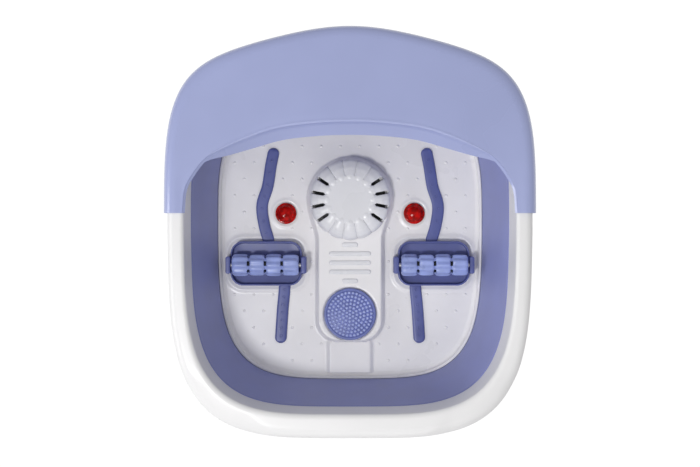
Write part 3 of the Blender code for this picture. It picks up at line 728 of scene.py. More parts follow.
@dataclass
class FlexibleWall:
    """The silicone wall: a bead in the base, a soft cone, and a bead outside the rim's skirt."""

    plan: BasinPlan
    longest_step: float = 2.4 * MM
    blend_from: float = 84.0 * MM
    blend_to: float = 150.0 * MM

    def section(self) -> Array:
        """The closed section of (inset, height): up the inside, round the skirt, and down."""
        corners = [(38.5, 75.4, 0.4), (38.5, 82.0, 6.0), (20.2, 149.0, 3.0), (19.6, 152.6, 1.2),
                   (18.7, 154.5, 0.6), (15.3, 154.6, 0.3), (15.2, 168.0, 0.6),
                   (12.6, 168.0, 0.6), (12.6, 153.0, 1.5), (16.2, 150.6, 2.0),
                   (17.3, 148.0, 0.8), (18.5, 145.6, 0.8), (18.2, 144.6, 0.5),
                   (25.9, 117.2, 0.8), (27.2, 115.0, 0.8), (27.0, 113.4, 0.8),
                   (34.6, 85.4, 0.8), (35.7, 83.6, 0.6), (35.8, 75.4, 0.4)]
        line = filleted([(a * MM, b * MM, r * MM) for a, b, r in corners], closed=True, steps=4)
        return subdivided(np.vstack([line, line[:1]]), self.longest_step)[:-1]

    def build(self) -> None:
        """Make and dress the wall between the base and the rim, left fastened to no body."""
        form = self.plan.ring(self.section(), 280)
        wall = show("silicone_wall", form, WALL_SILICONE, Body.BASE,
                    ["bellows_wall"], rides=False)
        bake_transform(wall)


@dataclass
class SplashGuard:
    """The lift-off cover over the toe half, with two arms and a sloping lip."""

    plan: BasinPlan
    columns: int = 281
    thickness: float = 2.6 * MM
    reach: float = 3.4 * MM
    round_edge: float = 11.0 * MM
    lip_width: float = 14.5 * MM
    arm_lip: float = 2.5 * MM
    lip_end: float = 146.0 * MM
    lip_power: float = 7.0
    lip_slope: float = 0.9
    sag: float = 0.9 * MM
    knots: tuple[tuple[float, float], ...] = (
        (166.7, 19.0), (164.5, 41.5), (158.0, 55.5), (146.0, 71.5), (133.0, 80.8),
        (108.0, 93.2), (75.0, 104.8), (38.0, 110.3), (0.0, 112.0))

    def lip_line(self) -> Array:
        """The line where the flat top turns down into the lip, from right to left."""
        right = list(self.knots)
        left = [(-x, y) for x, y in right[-2::-1]]
        return smooth_line(right + left, self.columns)

    def rows(self, thick: float) -> list[Array]:
        """Rows of points from the hem over the top to the lip, at a depth in the shell.

        The outer edge is an arc on the plan, the top runs straight from there to the lip line
        with a slight fall, and the lip runs inward and down by its slope.

        Args:
            thick: Zero for the outside, the shell's thickness for the underside.

        Returns:
            The rows, each as columns by three.
        """
        low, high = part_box("splash_guard")
        top, radius = high.z, self.round_edge - thick
        centre = (self.round_edge - self.reach, high.z - self.round_edge)
        angles = np.linspace(math.pi, math.pi / 2.0, 12)
        side = [(centre[0] - radius + 0.3 * MM, low.z), (centre[0] - radius, low.z + 0.5 * MM),
                (centre[0] - radius, low.z + 7.0 * MM)]
        if thick:
            side[0] = (centre[0] - radius - 0.3 * MM, low.z)
        side += [(centre[0] + radius * math.cos(a), centre[1] + radius * math.sin(a))
                 for a in angles]
        start = low.y
        rows = [self._at(self.plan.toe_row(d, start, self.columns), z) for d, z in side]
        line, edge, drop = self._lip()
        outer = rows[-1][:, :2]
        for share in np.linspace(0.08, 0.97, 12):
            fall = self.sag * smooth_step(np.array(share)) * 0.8
            rows.append(self._at(outer + (line - outer) * share, top - thick - fall))
        base = top - thick - self.sag
        inward = edge - line
        for share, rise in ((-0.06, 0.1), (0.0, 0.34), (0.06, 0.2), (0.14, -0.35)):
            rows.append(self._at(line + inward * share, base + rise * MM))
        for share in np.linspace(0.25, 1.0, 6):
            back = inward * (0.12 if thick and share > 0.9 else 0.0)
            rows.append(self._at(line + inward * share - back, base - drop * share))
        return rows

    def _lip(self) -> tuple[Array, Array, Array]:
        """The lip line, the lip's lower edge, and how far the lip falls at each column."""
        line = self.lip_line()
        inward = np.array([0.0, -40.0 * MM]) - line
        inward[:, 1] = np.minimum(inward[:, 1], 0.0)
        inward /= np.linalg.norm(inward, axis=1)[:, None]
        square = smooth_step((line[:, 1] - 22.0 * MM) / (10.0 * MM))[:, None]
        straight = np.column_stack([-np.sign(line[:, 0]), np.zeros(len(line))])
        inward = inward * square + straight * (1.0 - square)
        fade = np.clip(1.0 - (np.abs(line[:, 0]) / self.lip_end) ** self.lip_power, 0.0, 1.0)
        width = self.arm_lip + (self.lip_width - self.arm_lip) * fade
        return line, line + inward * width[:, None], self.lip_slope * width

    @staticmethod
    def _at(points: Array, height: Array) -> Array:
        """Plan points at a height or at heights."""
        return np.column_stack([points, np.broadcast_to(height, len(points))])

    def build(self) -> None:
        """Make and dress the guard."""
        grid = np.stack(self.rows(0.0) + self.rows(self.thickness)[::-1])
        form = Form.from_grid(grid, loop_rows=True, loop_columns=False)
        show("splash_cover", form, GUARD_LAVENDER, Body.GUARD,
             ["splash_guard"])


@dataclass
class BasePan:
    """The white floor of the basin, with its hump, collars, ribs, nubs and upstand."""

    plan: BasinPlan
    floor_inset: float = 44.4 * MM
    rows: int = 290
    columns: int = 262
    hump_half: float = 35.8 * MM
    hump_end: float = -119.0 * MM
    ridge_half: float = 23.8 * MM
    ridge_drop: float = 10.5 * MM
    draft: float = 2.3 * MM
    seat_depth: float = 3.0 * MM
    rib_pitch: float = 9.8 * MM
    rib_y: float = -33.1 * MM
    rib_halves: tuple[float, ...] = (8.7, 22.6, 22.6, 22.6, 8.7)
    nub_pitch: tuple[float, float] = (21.0 * MM, 18.0 * MM)
    nub_radius: float = 1.7 * MM

    def __post_init__(self) -> None:
        """Read the places of the fittings from the frame."""
        self.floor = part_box("left_lens_gasket")[0].z - 0.3 * MM
        self.hump_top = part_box("circulation_cap")[0].z - 0.3 * MM
        self.cap = round_place("circulation_cap")
        self.lens = round_place("right_infrared_lens")[:2]
        self.pad = round_place("pedicure_pad")

    def plateau(self, distance: Array, height: float) -> Array:
        """A flat-topped rise inside an outline, with drafted and rounded sides."""
        return height * smooth_step(0.5 - distance / (2.0 * self.draft))

    def height(self, x: Array, y: Array) -> Array:
        """The floor's height at points: smooth union of the hump, ridge and cap seat.

        Collars round the trays and the lens seats are bell curves of the distance to them.
        """
        rise = self.hump_top - self.floor
        cap_x, cap_y, cap_r = self.cap
        middle = (self.hump_end + cap_y) / 2.0
        hump = box_distance(x, y, (0.0, middle), (self.hump_half, cap_y - middle), 24.0 * MM)
        seat = np.hypot(x - cap_x, y - cap_y) - cap_r - 2.0 * MM
        ridge = box_distance(x, y, (0.0, -0.138), (self.ridge_half, 0.02), 4.0 * MM)
        z = self.plateau(joined(hump, seat, 12.0 * MM), rise)
        z = np.maximum(z, self.plateau(ridge, rise - self.ridge_drop))
        collar = box_distance(np.abs(x), y, BubbleChannel.tray_centre, BubbleChannel.tray_half,
                              BubbleChannel.tray_corner)
        z = z + 1.3 * MM * np.exp(-((collar - 4.4 * MM) / (2.2 * MM)) ** 2)
        around = np.hypot(np.abs(x) - self.lens[0], y - self.lens[1])
        z = z + 0.9 * MM * np.exp(-((around - 14.5 * MM) / (1.8 * MM)) ** 2)
        px, py, pr = self.pad
        dish = np.hypot(x - px, y - py) - pr - 1.0 * MM
        z = z - self.seat_depth * smooth_step(0.5 - dish / (1.6 * MM))
        return self.floor + z

    def floor_sheet(self) -> Form:
        """The floor as a grid pressed to the plan, with one flat face below it.

        A square of parameters is pulled to the plan's outline along rays: a point keeps its
        share of the way out, and its ray takes the outline's length in that direction.
        """
        outline = self.plan.closed_line(self.floor_inset)
        angle = np.unwrap(np.arctan2(outline[:, 1], outline[:, 0]))
        reach = np.hypot(outline[:, 0], outline[:, 1])
        half_x = outline[:, 0].max()
        low, high = outline[:, 1].min(), outline[:, 1].max()
        v, u = np.meshgrid(np.linspace(-1, 1, self.rows), np.linspace(-1, 1, self.columns),
                           indexing="ij")
        x, y = u * half_x, np.where(v > 0.0, v * high, -v * low)
        direction = np.mod(np.arctan2(y, x), TAU)
        share = np.maximum(np.abs(u), np.abs(v))
        edge = np.interp(direction, angle, reach)
        box_reach = np.hypot(x, y) / np.maximum(share, 1e-9)
        squeeze = 1.0 + (edge / np.maximum(box_reach, 1e-9) - 1.0) * share ** 3
        x, y = x * squeeze, y * squeeze
        grid = np.stack([x, y, self.height(x, y)], axis=-1)
        grid[[0, -1], :, 2] = self.floor
        grid[:, [0, -1], 2] = self.floor
        form = Form.from_grid(grid, loop_columns=False, capped=False)
        index = np.arange(self.rows * self.columns).reshape(self.rows, self.columns)
        border = np.concatenate([index[0, :-1], index[:-1, -1], index[-1, :0:-1],
                                 index[:0:-1, 0]])
        below = len(form.points) + np.arange(len(border))
        sunk = form.points[border] - np.array([0.0, 0.0, 2.6 * MM])
        walls = np.stack([np.roll(border, -1), border, below, np.roll(below, -1)], axis=-1)
        whole = Form(np.vstack([form.points, sunk]), np.vstack([form.quads, walls]),
                     [below[::-1]])
        return whole.facing_out()

    def upstand(self) -> Form:
        """The flange under the wall's bead and the low wall that holds the bead outward."""
        corners = [(33.3, 72.1, 0.4), (33.3, 74.9, 0.4), (38.7, 75.0, 0.1), (38.8, 80.0, 0.9),
                   (41.2, 80.0, 1.0), (42.0, 75.4, 3.0), (46.0, 75.02, 0.1), (46.0, 72.6, 0.1)]
        line = filleted([(a * MM, b * MM, r * MM) for a, b, r in corners], closed=True, steps=5)
        return self.plan.ring(line)

    def ribs(self) -> Form:
        """Five low bars across the hump, each a stadium whose sides round over."""
        profile = filleted([(-0.2 * MM, -1.0 * MM, 0.0), (0.0, 0.0, 0.0),
                            (0.3 * MM, 1.75 * MM, 0.8 * MM), (1.9 * MM, 1.8 * MM, 0.0)],
                           steps=4)
        bars = []
        for index, half in enumerate(self.rib_halves):
            bar = lofted_box(half * MM, 2.5 * MM, 2.45 * MM, profile)
            bars.append(bar.moved((0.0, self.rib_y + (2 - index) * self.rib_pitch,
                                   self.hump_top - 0.1 * MM)))
        return Form.together(bars)

    def nub_places(self) -> Array:
        """Places of the floor nubs: a staggered lattice, kept clear of every fitting."""
        step_x, step_y = self.nub_pitch
        columns, rows = np.meshgrid(np.arange(-7, 8), np.arange(-9, 9))
        x = (columns + 0.5 * (rows % 2)) * step_x
        y = rows * step_y + 4.0 * MM
        inside = self.plan.closed_line(self.floor_inset + 7.0 * MM)
        limit = np.interp(np.mod(np.arctan2(y, x), TAU),
                          np.unwrap(np.arctan2(inside[:, 1], inside[:, 0])),
                          np.hypot(inside[:, 0], inside[:, 1]))
        clear = np.hypot(x, y) < limit
        clear &= np.abs(self.height(x, y) - self.floor) < 0.15 * MM
        clear &= box_distance(np.abs(x), y, BubbleChannel.tray_centre, BubbleChannel.tray_half,
                              5.0 * MM) > 9.0 * MM
        clear &= np.hypot(np.abs(x) - self.lens[0], y - self.lens[1]) > 17.0 * MM
        for knots in (BubbleChannel.toe_knots, BubbleChannel.heel_knots):
            strip = smooth_line(knots, 40)
            gaps = np.hypot(np.abs(x)[..., None] - strip[:, 0], y[..., None] - strip[:, 1])
            clear &= gaps.min(axis=-1) > 10.0 * MM
        x, y = x[clear], y[clear]
        return np.column_stack([x, y, self.height(x, y) - 0.25 * MM])

    def nubs(self) -> Form:
        """All the floor nubs, each a low dome."""
        r = self.nub_radius
        arc = np.linspace(0.0, 0.94 * math.pi / 2.0, 6)
        profile = np.column_stack([r * np.cos(arc), 1.2 * MM * np.sin(arc)])
        return turned(profile, 14).repeated(self.nub_places())

    def build(self) -> None:
        """Make and dress every part of the pan."""
        show("pan_floor", self.floor_sheet(), PAN_WHITE, Body.BASE, ["base_pan"],
             sharp=60.0)
        show("pan_upstand", self.upstand(), PAN_WHITE, Body.BASE)
        show("hump_ribs", self.ribs(), CAP_WHITE, Body.BASE)
        show("floor_nubs", self.nubs(), PAN_WHITE, Body.BASE)


@dataclass
class CirculationCap:
    """The petalled dome with eight slots, four to each side."""

    petals: int = 16
    petal_columns: int = 12
    slot_half: float = 1.65 * MM
    slot_from: float = 28.0 * MM
    slot_to: float = 43.0 * MM
    groove_half: float = 0.55 * MM
    groove_depth: float = 0.8 * MM
    bulge: float = 0.95 * MM
    plateau: float = 26.0 * MM
    scallop: float = 3.6 * MM
    wall: float = 1.9 * MM
    longest_step: float = 0.55 * MM

    def profile(self) -> Array:
        """The dome's section from its foot to its middle, as (radius, height)."""
        low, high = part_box("circulation_cap")
        r, h = (high.x - low.x) / 2.0 - 0.1 * MM, high.z - low.z
        corners = [(r, 0.0, 0.0), (r - 0.3 * MM, 0.56 * h, 7.0 * MM),
                   (r - 9.0 * MM, 0.86 * h, 12.0 * MM), (self.plateau, 0.985 * h, 6.0 * MM),
                   (1.2 * MM, h, 0.0)]
        return subdivided(filleted(corners, steps=8), self.longest_step)

    def grid(self) -> tuple[Array, Array]:
        """The dome's points, and which faces stay beside the slots.

        Each petal's columns are shared evenly between the edges of its two grooves, so the
        slots' walls run parallel at their true width and close in a half round at each end.
        """
        profile = self.profile()
        r = profile[:, 0]
        pitch = TAU / self.petals
        centres = (np.arange(self.petals) + 0.5) * pitch
        is_slot = np.abs(np.sin(centres)) < 0.6
        inner = np.clip((r - self.slot_from) / self.slot_half, 0.0, 1.0)
        outer = np.clip((self.slot_to - r) / self.slot_half, 0.0, 1.0)
        ends = np.minimum(inner, outer)
        open_half = self.slot_half * np.sqrt(np.clip(1.0 - (1.0 - ends) ** 2, 0.0, 1.0))
        half = np.where(is_slot[None, :], np.maximum(open_half, self.groove_half)[:, None],
                        self.groove_half)
        half = np.minimum(half, 0.1 * r[:, None])
        turn = half / r[:, None]
        shares = np.linspace(0.0, 1.0, self.petal_columns + 1)
        start = centres[None, :] + turn
        end = np.roll(centres, -1)[None, :] + np.where(np.arange(self.petals) == self.petals - 1,
                                                       TAU, 0.0) - np.roll(turn, -1, axis=1)
        petals = start[..., None] + (end - start)[..., None] * shares
        middle = np.broadcast_to(centres[None, :, None], (len(r), self.petals, 1))
        angles = np.concatenate([middle, petals], axis=2)
        bulge = np.concatenate([[0.0], np.sin(math.pi * shares) ** 0.7])
        edge = np.concatenate([[1.0], np.zeros(len(shares))])
        start_r = self.plateau - self.scallop * bulge
        window = smooth_step((r[:, None, None] - start_r + 1.2 * MM) / (2.4 * MM))
        rise = (self.bulge * bulge - self.groove_depth * edge - 0.6 * self.bulge) * window
        slope = np.gradient(profile, axis=0)
        slope /= np.linalg.norm(slope, axis=1)[:, None]
        out_r, out_z = slope[:, 1][:, None, None], -slope[:, 0][:, None, None]
        radius = r[:, None, None] + rise * out_r
        height = profile[:, 1][:, None, None] + rise * out_z + 0.0 * angles
        radius = radius + 0.0 * angles
        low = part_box("circulation_cap")[0]
        cx, cy = round_place("circulation_cap")[:2]
        grid = np.stack([cx + radius * np.cos(angles), cy + radius * np.sin(angles),
                         low.z + height], axis=-1)
        rows, columns = len(r), self.petals * (self.petal_columns + 2)
        keep = np.ones((rows - 1, self.petals, self.petal_columns + 2), bool)
        open_rows = (r[:-1] > self.slot_from) & (r[:-1] < self.slot_to)
        open_rows &= profile[:-1, 1] > 3.5 * MM
        slot_faces = open_rows[:, None] & is_slot[None, :]
        keep[:, :, 0] &= ~slot_faces
        keep[:, :, -1] &= ~np.roll(slot_faces, -1, axis=1)
        return grid.reshape(rows, columns, 3), keep.reshape(rows - 1, columns)

    def build(self) -> None:
        """Make and dress the cap, whose wall is given its thickness inward."""
        grid, keep = self.grid()
        form = Form.from_grid(grid, capped=False, keep=keep)
        rim = np.arange(grid.shape[1]) + (grid.shape[0] - 1) * grid.shape[1]
        form = Form(form.points, form.quads, [rim])
        if form.volume() < 0.0:
            form = form.flipped()
        cap = show("cap_dome", form, CAP_WHITE, Body.CAP, ["circulation_cap"],
                   sharp=50.0)
        solid = cap.modifiers.new("wall", "SOLIDIFY")
        solid.thickness = self.wall
        solid.offset = -1.0
        place = (*round_place("circulation_cap")[:2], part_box("circulation_cap")[0].z)
        # Painted shade: a black disc with ring vents sits under the cap, shaped as an intake
        # grille, so the slots show dark where under the dome there is only shade.
        mouth = filleted([(0.6, -1.0, 0.0), (0.6, 0.35, 0.1), (4.0, 0.35, 0.2), (4.6, -0.2, 0.2),
                          (12.0, -0.2, 0.2), (12.6, 0.35, 0.2), (15.0, 0.35, 0.2),
                          (15.6, -0.2, 0.2), (24.0, -0.2, 0.2), (24.6, 0.35, 0.2),
                          (27.0, 0.35, 0.2), (27.6, -0.2, 0.2), (34.0, -0.2, 0.2),
                          (34.6, 0.35, 0.2), (38.6, 0.35, 0.2), (38.8, -1.0, 0.0)], steps=3) * MM
        show("intake_disc_painted_shade", turned(mouth, 56).moved(place), BLACK_PLASTIC, Body.BASE)


@dataclass
class PedicurePad:
    """The round blue pad covered in soft nubs set in rings."""

    ring_pitch: float = 3.85 * MM
    rings: int = 6
    nub_radius: float = 1.75 * MM
    nub_height: float = 2.6 * MM
    crown: float = 2.6 * MM

    def build(self) -> None:
        """Make and dress the pad's disc and its nubs."""
        low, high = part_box("pedicure_pad")
        cx, cy, r = round_place("pedicure_pad")
        top = high.z - self.nub_height + 0.3 * MM
        edge = top - self.crown
        profile = [(r - 1.2 * MM, low.z, 0.0), (r, low.z + 1.0 * MM, 0.8 * MM),
                   (r, edge + 0.8 * MM, 0.9 * MM), (r - 2.4 * MM, edge + 0.9 * MM, 0.8 * MM),
                   (r - 3.2 * MM, edge, 0.6 * MM)]
        rim = filleted(profile, steps=5)
        share = np.linspace(0.0, 0.985, 16)[1:]
        inner = r - 3.2 * MM
        dome = np.column_stack([inner * (1.0 - share), edge + self.crown * (1 - (1 - share) ** 2)])
        disc = turned(np.vstack([rim, dome]), 72).moved((cx, cy, 0.0))
        # The disc's dark blue carries painted shade between the nubs.
        show("foot_pad", disc, PAD_SHADED_BLUE, Body.PAD, ["pedicure_pad"])
        places = [[0.0, 0.0]]
        for ring in range(1, self.rings + 1):
            turn = np.arange(6 * ring) * TAU / (6 * ring) + 0.5 * ring
            places += list(np.column_stack([np.cos(turn), np.sin(turn)]) * ring * self.ring_pitch)
        plan = np.array(places)
        out = np.hypot(plan[:, 0], plan[:, 1]) / inner
        height = edge + self.crown * (1.0 - out ** 2) - 0.3 * MM
        spots = np.column_stack([plan[:, 0] + cx, plan[:, 1] + cy, height])
        arc = np.linspace(0.0, 0.92 * math.pi / 2.0, 6)
        nub = np.column_stack([self.nub_radius * np.cos(arc) ** 0.8,
                               self.nub_height * np.sin(arc)])
        # The nubs' lighter blue is a painted highlight against the darker base.
        show("foot_pad_nubs", turned(nub, 12).repeated(spots), PAD_NUB_LIT_BLUE, Body.PAD)


@dataclass
class BubbleChannel:
    """One blue moulding: toe strip, roller tray with bearings, heel strip."""

    side: Side
    width: float = 12.6 * MM
    rise: float = 3.0 * MM
    tray_top: float = 86.0 * MM
    recess: float = 78.0 * MM
    tray_centre = (91.0 * MM, -33.85 * MM)
    tray_half = (39.0 * MM, 24.45 * MM)
    tray_corner = 14.0 * MM
    toe_knots = ((82.5, 92.0), (86.5, 72.0), (90.0, 50.0), (96.0, 29.2), (93.5, 7.2),
                 (87.0, -14.0))
    heel_knots = ((71.0, -54.0), (71.8, -66.0), (73.7, -86.4), (75.9, -121.0))

    def strip(self, knots: Sequence[tuple[float, float]], low: float) -> Form:
        """A low band along a curve with round shoulders and half-round ends.

        Across the band the section is a flat top with quarter-round shoulders; along it the
        whole section shrinks with the circle of its own half width at each end.

        Args:
            knots: The middle line's points in millimetres.
            low: The height of the floor.

        Returns:
            The closed band.
        """
        line = smooth_line(knots, 90)
        along = np.gradient(line, axis=0)
        along /= np.linalg.norm(along, axis=1)[:, None]
        across = np.column_stack([-along[:, 1], along[:, 0]])
        way = np.concatenate([[0.0], np.cumsum(np.linalg.norm(np.diff(line, axis=0), axis=1))])
        half = self.width / 2.0
        near = np.minimum(way, way[-1] - way)
        swell = np.sqrt(np.clip(1.0 - (1.0 - np.clip(near / half, 0.02, 1.0)) ** 2, 0.0, 1.0))
        section = filleted([(-1.0, 0.0, 0.0), (-1.0, 1.0, 0.42), (1.0, 1.0, 0.42),
                            (1.0, 0.0, 0.0)], steps=5)
        plan = line[:, None] + across[:, None] * (section[:, 0] * half)[None, :, None] \
            * swell[:, None, None]
        height = low + self.rise * section[:, 1][None] * np.minimum(1.0, swell * 1.4)[:, None]
        return Form.from_grid(np.concatenate([plan, height[..., None]], axis=-1))

    def air_holes(self, knots: Sequence[tuple[float, float]], low: float) -> Form:
        """Small raised eyelets along a strip where the air comes out."""
        line = smooth_line(knots, 9)[1:-1]
        profile = filleted([(1.9, -0.4, 0.0), (1.7, 0.35, 0.25), (1.0, 0.35, 0.2),
                            (0.7, -0.3, 0.0)], steps=3) * MM
        ring = turned(profile, 16)
        return ring.repeated(np.column_stack([line, np.full(len(line), low + self.rise)]))

    def tray(self, low: float) -> Form:
        """The tray: round corners, a rolled edge, and upright walls down to its floor."""
        deep = self.recess + 0.6 * MM
        profile = filleted([(0.0, low, 0.0), (0.4 * MM, self.tray_top, 0.9 * MM),
                            (2.1 * MM, self.tray_top, 0.6 * MM), (2.3 * MM, deep, 0.8 * MM),
                            (16.0 * MM, deep, 0.0)], steps=5)
        body = lofted_box(*self.tray_half, self.tray_corner, profile)
        return body.moved((*self.tray_centre, 0.0))

    def bearings(self, low: float) -> Form:
        """The two posts that carry the axle, with round tops."""
        y = (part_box("right_roller")[0].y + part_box("right_roller")[1].y) / 2.0
        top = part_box("right_bubble_channel")[1].z
        posts = []
        for x, half in ((131.6 * MM, 2.8 * MM), (50.0 * MM, 3.2 * MM)):
            profile = filleted([(0.0, low, 0.0), (0.3 * MM, top - 0.05 * MM, 1.6 * MM),
                                (half - 0.4 * MM, top, 0.0)], steps=6)
            posts.append(lofted_box(half, 9.6 * MM, 2.6 * MM, profile).moved((x, y, 0.0)))
        return Form.together(posts)

    def build(self) -> None:
        """Make and dress the moulding."""
        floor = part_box("right_lens_gasket")[0].z - 0.1 * MM
        word = self.side.word
        whole = Form.together([self.strip(self.toe_knots, floor),
                               self.strip(self.heel_knots, floor), self.tray(floor),
                               self.bearings(floor)]).mirrored(self.side)
        show(word + "_channel", whole, CHANNEL_BLUE, Body.BASE,
             [word + "_bubble_channel"])
        holes = Form.together([self.air_holes(self.toe_knots, floor),
                               self.air_holes(self.heel_knots, floor)]).mirrored(self.side)
        show(word + "_air_eyelets", holes, CHANNEL_BLUE, Body.BASE)


@dataclass
class FootRoller:
    """A barrel of four lobed rings, with windows where the rings meet."""

    side: Side
    rings: int = 4
    columns: int = 96
    lobes: int = 8
    windows: int = 6
    window_half_width: float = 1.35 * MM
    window_half_turn: float = math.radians(17.0)
    core: float = 9.0 * MM
    bore: float = 2.9 * MM
    shell: float = 1.5 * MM
    hub: float = 6.2 * MM
    end_gap: float = 0.2 * MM

    def build(self) -> None:
        """Make and dress the barrel, whose shell gets its thickness inward.

        Each end is flat, with a bore that clears the axle.

        The radius is the core plus, on each ring, a rounded swell along the axis times a
        gentle cosine of the lobes round it; neighbouring rings are turned by half a lobe.
        """
        low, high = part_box(self.side.word + "_roller")
        outer = (high.z - low.z) / 2.0 - 0.05 * MM
        y, z = (low.y + high.y) / 2.0, (low.z + high.z) / 2.0
        length = high.x - low.x
        pitch = length / self.rings
        half = self.window_half_width
        edges = np.array([0.0, half, half + 1.3 * MM])
        inner = np.linspace(half + 1.3 * MM, pitch - half - 1.3 * MM, 12)[1:-1]
        local = np.concatenate([edges, inner, pitch - edges[::-1][:2]])
        stops = np.concatenate([local + k * pitch for k in range(self.rings)] + [[length]])
        ring = np.minimum((stops / pitch + 1e-6).astype(int), self.rings - 1)
        place = (stops - ring * pitch) / pitch * 2.0 - 1.0
        turn = np.linspace(0.0, TAU, self.columns, endpoint=False)
        swell = np.clip(1.0 - np.abs(place) ** 4, 0.0, 1.0) ** 0.5
        lobe = 0.5 + 0.5 * np.cos(self.lobes * turn[None, :] + math.pi * (ring[:, None] % 2))
        radius = self.core + (outer - self.core) * swell[:, None] * (0.5 + 0.5 * lobe)
        grid = np.stack([np.broadcast_to(low.x + stops[:, None], radius.shape),
                         y + radius * np.cos(turn), z + radius * np.sin(turn)], axis=-1)
        spacing = TAU / self.windows
        middle = turn + TAU / self.columns / 2.0
        offset = np.mod(middle - math.pi / 2.0 + 0.2 + spacing / 2.0, spacing) - spacing / 2.0
        at_window = np.abs(offset) < self.window_half_turn
        centre = (stops[:-1] + stops[1:]) / 2.0
        seam = np.abs(np.mod(centre + pitch / 2.0, pitch) - pitch / 2.0) < half
        seam &= (centre > pitch / 2.0) & (centre < length - pitch / 2.0)
        keep = ~(seam[:, None] & at_window[None, :])
        mouths = np.stack([np.stack([np.full(self.columns, x), y + self.bore * np.cos(turn),
                                     z + self.bore * np.sin(turn)], axis=-1)
                           for x in (low.x, high.x)])
        grid = np.concatenate([mouths[:1], grid, mouths[1:]])
        whole = np.ones((1, self.columns), bool)
        form = Form.from_grid(grid, capped=False, keep=np.vstack([whole, keep, whole]))
        if form.volume() < 0.0:
            form = form.flipped()
        body = Body.LEFT_BARREL if self.side is Side.LEFT else Body.RIGHT_BARREL
        barrel = show(self.side.word + "_barrel", form, ROLLER_BLUE, body,
                      [self.side.word + "_roller"], sharp=50.0)
        solid = barrel.modifiers.new("shell", "SOLIDIFY")
        solid.thickness = self.shell
        solid.offset = -1.0
        inset = self.shell + self.end_gap
        hub = filleted([(self.bore, inset, 0.0), (self.hub, inset, 0.8 * MM),
                        (self.hub, length - inset, 0.8 * MM),
                        (self.bore, length - inset, 0.0)], closed=True, steps=4)
        show(self.side.word + "_barrel_hub", tube(hub, 40).moved((low.x, y, z), TURN_TO_X),
             BLACK_PLASTIC, body)


@dataclass
class InfraredLens:
    """A red dome with a ring of facets, over its seat."""

    side: Side
    facets: int = 12

    def build(self) -> None:
        """Make and dress the lens.

        The collar is turned; the dome has five rows of flat facets, each row turned by half a
        facet against the one below it, and its height is a quarter circle of the radius.
        """
        low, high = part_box(self.side.word + "_infrared_lens")
        cx, cy, r = round_place(self.side.word + "_infrared_lens")
        top = high.z
        seat = top - 7.6 * MM
        profile = filleted([(r - 2.6 * MM, low.z, 0.0), (r - 2.6 * MM, seat, 0.0),
                            (r, seat, 0.3 * MM), (r, seat + 1.6 * MM, 0.7 * MM),
                            (r - 1.8 * MM, seat + 1.9 * MM, 0.4 * MM)], steps=4)
        collar = turned(profile, 48).moved((cx, cy, 0.0))
        lift = np.array([0.0, 0.12, 0.42, 0.68, 0.9]) * math.pi / 2.0
        turn = np.linspace(0.0, TAU, self.facets, endpoint=False)
        turn = turn + np.arange(len(lift))[:, None] * TAU / self.facets / 2.0
        reach = (r - 1.8 * MM) * np.cos(lift)[:, None]
        height = seat + 1.7 * MM + 5.8 * MM * np.sin(lift)[:, None] + 0.0 * turn
        grid = np.stack([cx + reach * np.cos(turn), cy + reach * np.sin(turn), height], axis=-1)
        dome = Form.from_grid(grid)
        form = Form.together([collar, dome])
        show(self.side.word + "_lens", form, LENS_RED, Body.BASE,
             [self.side.word + "_infrared_lens"], sharp=8.0)


